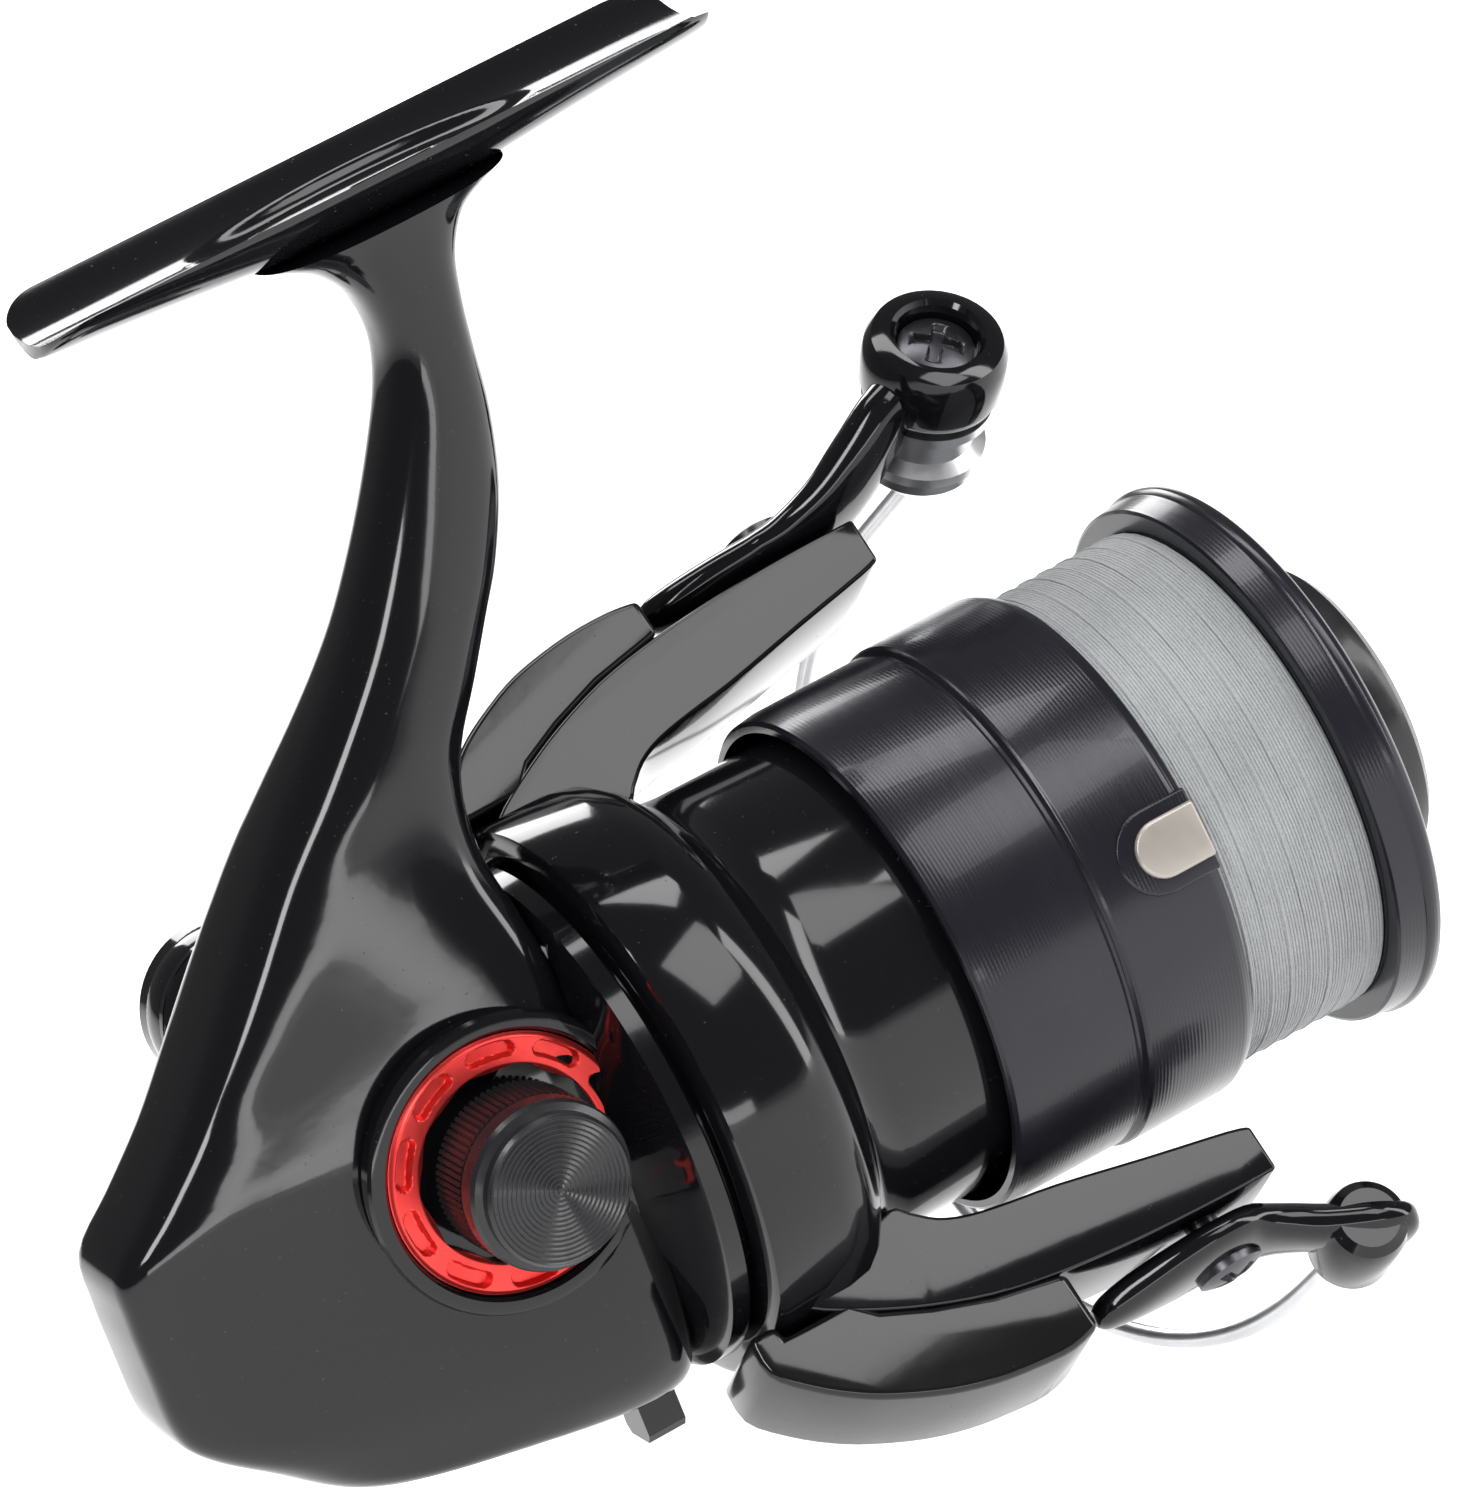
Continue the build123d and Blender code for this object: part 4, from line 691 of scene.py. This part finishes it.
capProfile.append((cap["face"] - 0.05, 0))
capBase = spun("capWork", capProfile, crankMid, near, capBlack, 144, angle=18.0)
handleCap = joined("handleCapShell", [capBase, knurl], capBlack)
settled(handleCap, "crank", "cap_black", "handle_cap")
print("trim ring and cap done")

hubProfile = [(33.5, 4.2), (36.0, 5.2), (38.4, 6.6), (40.8, 7.4), (43.0, 7.65), (45.4, 7.4),
    (47.2, 6.4), (48.0, 4.6), (48.1, 3.0), (48.1, 0), (33.5, 0)]
hub = spun("hubDomeShell", hubProfile,
           crankMid, Vector((0, 1, 0)), blackGloss, 96)
settled(hub, "crank", "cap_black", "hub_dome")

# rotor, its two arms and their covers
rotorSizes = {"armHalf": 6.5, "edge": 1.7, "coverEdge": 2.3}
bowlProfile = [(-8.0, 21.8), (-8.0, 24.5), (-7.7, 25.1), (-7.1, 25.3), (-1.0, 25.3), (1.2, 24.9),
    (3.0, 23.6), (4.4, 21.8), (5.6, 21.0), (8.0, 20.75), (24.3, 20.75), (24.9, 20.5), (25.0, 20.1),
    (25.0, 19.0), (14.5, 19.0), (14.5, 2.52), (5.6, 2.52), (5.6, 7.0), (12.0, 7.0), (12.0, 19.0),
    (-0.6, 19.0), (-0.6, 21.8)]
bowl = spun("bowlWork", bowlProfile, shaftLow, forward, blackGloss, 160)
armTop = [(-6.4, 23.2), (-4.0, 25.2), (0.0, 27.4), (4.0, 29.2), (9.0, 30.9), (14.0, 31.9), (19.0, 32.5),
    (24.0, 32.9), (30.0, 33.15), (36.0, 33.2)]
armLow = [(36.0, 29.0), (34.0, 28.4), (27.0, 27.0), (19.0, 25.3), (14.5, 24.6), (11.0, 23.9),
    (8.6, 22.9), (6.8, 21.4), (5.4, 20.4), (1.0, 21.9), (-3.0, 22.4)]
armLine = [tuple(v) for v in smoothLine(armTop, 3)] + [tuple(v) for v in smoothLine(armLow, 3)]
armUp = slab("armUpWork", armLine, 1, rotorSizes["armHalf"], blackGloss, rotorSizes["edge"])
armDown = slab("armDownWork", armLine, -1, rotorSizes["armHalf"], blackGloss, rotorSizes["edge"])
rotorShell = joined("rotorShell", [bowl, armUp, armDown], blackGloss)
settled(rotorShell, "rotor_group", "body_black", "rotor")

coverLow = [(14.6, 32.0), (9.0, 30.9), (4.0, 29.2), (0.0, 27.4), (-1.9, 25.5), (-8.1, 25.5),
    (-8.2, 24.2)]
upTop = [(-10.9, 24.2), (-9.3, 27.0), (-6.5, 29.5), (-4.0, 31.5), (-1.4, 33.0), (2.0, 34.5),
    (5.0, 35.3), (9.0, 35.9), (13.0, 36.0), (15.9, 35.6), (15.9, 32.3)]
downTop = [(-10.9, 24.2), (-10.9, 27.6), (-8.5, 30.4), (-5.5, 32.8), (-2.6, 34.5), (1.5, 36.3),
    (5.4, 37.4), (9.0, 37.9), (12.5, 38.1), (15.4, 37.4), (15.4, 32.2)]
upperCover = slab("upperCoverShell", [tuple(v) for v in smoothLine(upTop[:-1],
    3)] + [upTop[-1]] + coverLow, 1, rotorSizes["armHalf"], coverGloss, rotorSizes["coverEdge"])
lowerCover = slab("lowerCoverShell", [tuple(v) for v in smoothLine(downTop[:-1],
    3)] + [downTop[-1]] + coverLow, -1, rotorSizes["armHalf"], coverGloss, rotorSizes["coverEdge"])
settled(upperCover, "rotor_group", "cover_black", "upper_arm_cover")
settled(lowerCover, "rotor_group", "cover_black", "lower_arm_cover")
print("rotor, arms and covers done")

# bail levers, roller screw and pivot screws
leverLine = [(17.3, 0.0, 35.5, 1.0, 0.7), (18.2, 0.0, 35.5, 2.2, 1.3), (20.5, 0.0, 35.4, 3.6, 1.7),
    (24.5, 0.0, 35.4, 5.2, 1.8), (29.0, 0.0, 35.4, 6.2, 1.8), (33.0, -1.6, 35.5, 5.8, 1.9),
    (36.5, -4.4, 36.2, 4.7, 2.1), (39.6, -6.8, 37.7, 4.0, 2.3), (42.6, -8.4, 39.3, 3.8, 2.3),
    (44.9, -9.2, 40.4, 3.2, 2.1),]
upRun = smoothLine([Vector(s) for s in leverLine], 4)
leverArm = limb("leverWork", [(armPlace(v[0], v[1], v[2]), v[3], v[4], armOut) for v in upRun],
    blackGloss)
tipProfile = [(2.4, 0), (2.4, 3.65), (0.35, 3.75), (-0.05, 4.1), (0.0, 4.8), (0.5, 5.7), (1.5, 6.2),
    (3.0, 6.3), (5.2, 6.25), (6.1, 5.9), (6.4, 5.3), (6.4, 0)]
tipBoss = spun("tipWork", tipProfile, rollerTip, rollerDir, blackGloss, 96)
bailLever = joined("bailLeverShell", [leverArm, tipBoss], blackGloss)
settled(bailLever, "bail", "body_black", "bail_lever")

counterLine = [(17.6, 0.0, 35.6, 0.9, 0.7), (18.6, 0.0, 35.6, 2.0, 1.3), (21.5, 0.0, 35.5, 3.4, 1.7),
    (26.0, 0.0, 35.4, 5.2, 1.8), (30.0, 0.0, 35.4, 5.8, 1.8), (33.5, 0.0, 35.7, 5.0, 1.9),
    (36.5, -0.6, 37.2, 4.2, 1.9), (39.5, -1.4, 39.2, 3.9, 1.9), (42.5, -1.8, 40.8, 3.9, 1.8),
    (44.6, -1.9, 41.7, 3.0, 1.5), (45.4, -1.9, 42.0, 1.4, 0.9),]
downRun = smoothLine([Vector(s) for s in counterLine], 4)
counterArm = limb("counterWork", [(armPlace(v[0], v[1], -v[2]), v[3], v[4], -armOut) for v in downRun],
    blackGloss)
counterProfile = [(-5.0, 0), (-5.0, 2.6), (-4.4, 3.4), (-3.4, 3.7), (2.6, 3.7), (3.6, 3.3), (4.0, 2.4),
    (4.0, 0)]
counterBoss = spun("counterTipWork", counterProfile,
                   armPlace(41.0, 0.0, -40.4), armAcross, blackGloss, 64)
counterLever = joined("counterLeverShell", [counterArm, counterBoss], blackGloss)
settled(counterLever, "bail", "body_black", "counter_lever")


tipScrew = crossHead("rollerScrewShell", rollerTip + rollerDir * 1.7 * mm, -rollerDir, 3.3, 0.9, 2.2,
    screwDark)
settled(tipScrew, "bail", "steel", "roller_screw")
pivotHeads = []
for facing in (1, -1):
    spot = armPlace(pivotX, 0, facing * 37.5)
    pivotHeads.append(crossHead("pivotWork", spot, armOut * facing, 3.0, 0.9, 1.9, screwDark))
    pivotHeads.append(spun("pivotShankWork", [(-8.0, 0), (-8.0, 1.5), (0.0, 1.5), (0.0, 0)], spot,
        armOut * facing, screwDark, 48))
pivotScrews = joined("pivotScrewShells", pivotHeads, screwDark)
settled(pivotScrews, "rotor_group", "steel", "pivot_screws")
print("levers and screws done")

# spool, line, clip and drag knob
spoolProfile = [(17.3, 21.9), (17.3, 22.5), (17.6, 22.85), (19.4, 23.1), (29.2, 23.12), (29.5, 22.95),
    (29.8, 22.95), (30.1, 23.35), (30.4, 23.5), (39.6, 23.5), (40.0, 23.42), (40.8, 23.0), (41.0, 22.6),
    (41.0, 13.5), (55.0, 13.5), (55.0, 23.9), (55.15, 24.2), (57.5, 24.5), (57.5, 14.8), (54.5, 11.5),
    (45.0, 11.5), (45.0, 1.64), (37.0, 1.64), (37.0, 9.0), (37.5, 9.0), (37.5, 21.7), (30.0, 21.9)]
spoolShell = spun("spoolShell", spoolProfile, shaftLow, forward, spoolBlack, 200, angle=22.0)
settled(spoolShell, "spool_group", "skirt_black", "spool")
lipProfile = [(57.5, 15.4), (57.5, 24.5), (57.75, 24.75), (58.3, 24.8), (58.9, 24.6), (59.3, 24.1),
    (59.5, 23.4), (59.6, 22.4), (59.4, 18.0), (59.0, 16.4), (58.4, 15.5)]
lipShell = spun("spoolLipShell", lipProfile, shaftLow, forward, spoolBlack, 200, angle=40.0)
settled(lipShell, "spool_group", "lip_dark", "spool_lip")

winding = {"turns": 46.0, "perTurn": 56, "rearRadius": 21.95, "frontRadius": 22.1, "width": 13.6,
    "strand": 0.17, "crossTurns": 7.0, "crossStrand": 0.15, "sides": 6, "stray": 0.05}


def windBuild(book, given):
    made = []
    for turns, strand, lift in (("turns", "strand", 0.0), ("crossTurns", "crossStrand", 0.00012)):
        coil = book.make("GeometryNodeCurveSpiral", None,
            {"Resolution": given["perTurn"], "Rotations": given[turns],
            "Start Radius": given["rearRadius"] + lift, "End Radius": given["frontRadius"] + lift,
            "Height": given["width"]})
        here = book.make("GeometryNodeInputPosition", None, None)
        wobble = book.make("ShaderNodeTexNoise", {"noise_dimensions": "4D"},
            {"Vector": here, "W": 3.0, "Scale": 400.0}, "Color")
        centred = book.make("ShaderNodeVectorMath", {"operation": "SUBTRACT"},
            {0: wobble, 1: (0.5, 0.5, 0.5)})
        push = book.make("ShaderNodeVectorMath", {"operation": "SCALE"},
            {0: centred, 3: given["stray"]})
        bent = book.make("GeometryNodeSetPosition", None, {"Geometry": coil, "Offset": push})
        edge = book.make("GeometryNodeCurvePrimitiveCircle", {"mode": "RADIUS"},
            {"Resolution": given["sides"], "Radius": given[strand]})
        made.append(book.make("GeometryNodeCurveToMesh", None, {"Curve": bent, "Profile Curve": edge}))
    join = book.tree.nodes.new("GeometryNodeJoinGeometry")
    for sock in made:
        book.tree.links.new(sock.link, join.inputs[0])
    return Sock(book, join.outputs[0])


scaled = {k: (v if isinstance(v, int) or "urns" in k else v * mm) for k, v in winding.items()}
lineTurns = grown("lineWork", scaled, windBuild, braidGrey)
toShaft = Matrix.Rotation(pi / 2, 4, "Y")
lineTurns.data.transform(Matrix.Translation(place(41.2, 0)) @ toShaft)
for face in lineTurns.data.polygons:
    face.use_smooth = True
coreProfile = [(41.1, 13.6), (41.1, 21.8), (54.9, 22.0), (54.9, 13.6)]
lineCore = spun("lineCoreWork", coreProfile, shaftLow, forward, braidGrey, 128)
lineShell = joined("lineWindingShell", [lineTurns, lineCore], braidGrey)
settled(lineShell, "spool_group", "line", "line_winding")


def tile(name, outline, origin, along, across, up, low, high, material, edge):
    verts = [origin + (along * a + across * b + up * h) * mm for h in (low, high) for a, b in outline]
    n = len(outline)
    faces = [tuple(range(n - 1, -1, -1)), tuple(range(n, 2 * n))]
    faces += [(i, (i + 1) % n, n + (i + 1) % n, n + i) for i in range(n)]
    return rounded(shown(name, cleaned(name, verts, faces, 40.0), material), edge, 3, 40.0)


clip = {"angle": 17.0, "frame": (40.9, 32.7, 3.7), "frameHeights": (22.2, 23.62),
    "pad": (41.0, 34.4, 2.5), "padHeights": (22.4, 24.0), "frameEdge": 0.25, "padEdge": 0.3}
clipOut = Vector((0, -cos(radians(clip["angle"])), sin(radians(clip["angle"]))))
clipSide = forward.cross(clipOut)


def clipOutline(front, rear, half, steps=14):
    arc = [(rear + half - half * cos(pi / 2 - pi * k / steps),
        half * sin(pi / 2 - pi * k / steps)) for k in range(steps + 1)]
    return [(front, half)] + arc + [(front, -half)]


clipFrame = tile("clipFrameShell", clipOutline(*clip["frame"]), shaftLow, forward, clipSide, clipOut,
                 *clip["frameHeights"], spoolBlack, clip["frameEdge"])
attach(clipFrame, "spool_group")
clipPad = tile("lineClipShell", clipOutline(*clip["pad"]), shaftLow, forward, clipSide, clipOut,
               *clip["padHeights"], clipTaupe, clip["padEdge"])
settled(clipPad, "spool_group", "skirt_black", "line_clip")

dragProfile = [(51.4, 6.0), (51.4, 8.8), (57.9, 8.8), (57.9, 13.2), (58.3, 13.8), (59.0, 14.0),
    (64.6, 14.0), (65.6, 13.7), (66.3, 12.9), (66.6, 11.8), (66.6, 9.6), (66.2, 9.3), (65.9, 8.6),
    (65.9, 2.6), (66.3, 1.6), (66.4, 0), (63.0, 0), (63.0, 4.6), (58.0, 4.6), (58.0, 6.0)]
dragShell = spun("dragKnobShell", dragProfile, shaftLow, forward, capBlack, 144)
settled(dragShell, "drag", "cap_black", "drag_knob")
print("spool, line and drag knob done")

# floor, light and camera
studio = {"floorDrop": 0.012, "floorSize": 6.0, "worldStrength": 0.15}
low, high = cadBox
floorMesh = bpy.data.meshes.new("floorPlane")
reach = studio["floorSize"] / 2
floorZ = low.z - studio["floorDrop"]
floorMesh.from_pydata([(-reach, -reach, floorZ), (reach, -reach, floorZ), (reach, reach, floorZ),
    (-reach, reach, floorZ)], [], [(0, 1, 2, 3)])
floor = shown("floorPlane", floorMesh, floorPale)

sky = bpy.data.worlds.new("studioWorld")
bpy.context.scene.world = sky
sky.use_nodes = True
sky.node_tree.nodes["Background"].inputs["Color"].default_value = (1, 1, 1, 1)
sky.node_tree.nodes["Background"].inputs["Strength"].default_value = studio["worldStrength"]
centre = (low + high) / 2
lamps = {
    # where it stands from the middle of the reel, width, height, watts
    "key": ((-0.55, -0.55, 0.75), 0.18, 0.9, 8.0),
    "front": ((0.75, -0.5, 0.35), 0.22, 0.9, 5.5),
    "arch": ((0.33, -0.57, 0.74), 0.42, 0.42, 3.2),
    "top": ((0.1, 0.15, 0.95), 0.9, 0.25, 6.0),
    "low": ((-0.2, -0.9, -0.02), 0.7, 0.08, 1.2),
    "back": ((0.2, 0.9, 0.4), 0.4, 0.4, 4.0),
}
for name, (offset, wide, tall, power) in lamps.items():
    data = bpy.data.lights.new(name + "Lamp", "AREA")
    data.shape = "RECTANGLE"
    data.size = wide
    data.size_y = tall
    data.energy = power
    lamp = bpy.data.objects.new(name + "Lamp", data)
    bpy.context.scene.collection.objects.link(lamp)
    lamp.location = centre + Vector(offset)
    lamp.rotation_mode = "QUATERNION"
    lamp.rotation_quaternion = (-Vector(offset)).to_track_quat("-Z", "Y")

view = {"lens": 236.0, "sensor": 36.0, "clip": (0.05, 20.0), "stand": (-0.2453, -0.6860, 0.2318),
    "right": (0.8344, -0.4491, -0.3195), "up": (0.4435, 0.2030, 0.8730),
    "back": (-0.3272, -0.8701, 0.3686),}
camera = bpy.data.objects.new("camera", bpy.data.cameras.new("camera"))
bpy.context.scene.collection.objects.link(camera)
camera.data.lens = view["lens"]
camera.data.sensor_width = view["sensor"]
camera.data.sensor_fit = "HORIZONTAL"
camera.data.clip_start, camera.data.clip_end = view["clip"]
turnBack = Matrix((view["right"], view["up"], view["back"])).transposed()
camera.rotation_mode = "QUATERNION"
camera.rotation_quaternion = turnBack.to_quaternion()
camera.location = view["stand"]
bpy.context.scene.camera = camera
bpy.context.scene.view_settings.view_transform = "Standard"
print("floor, light and camera done")
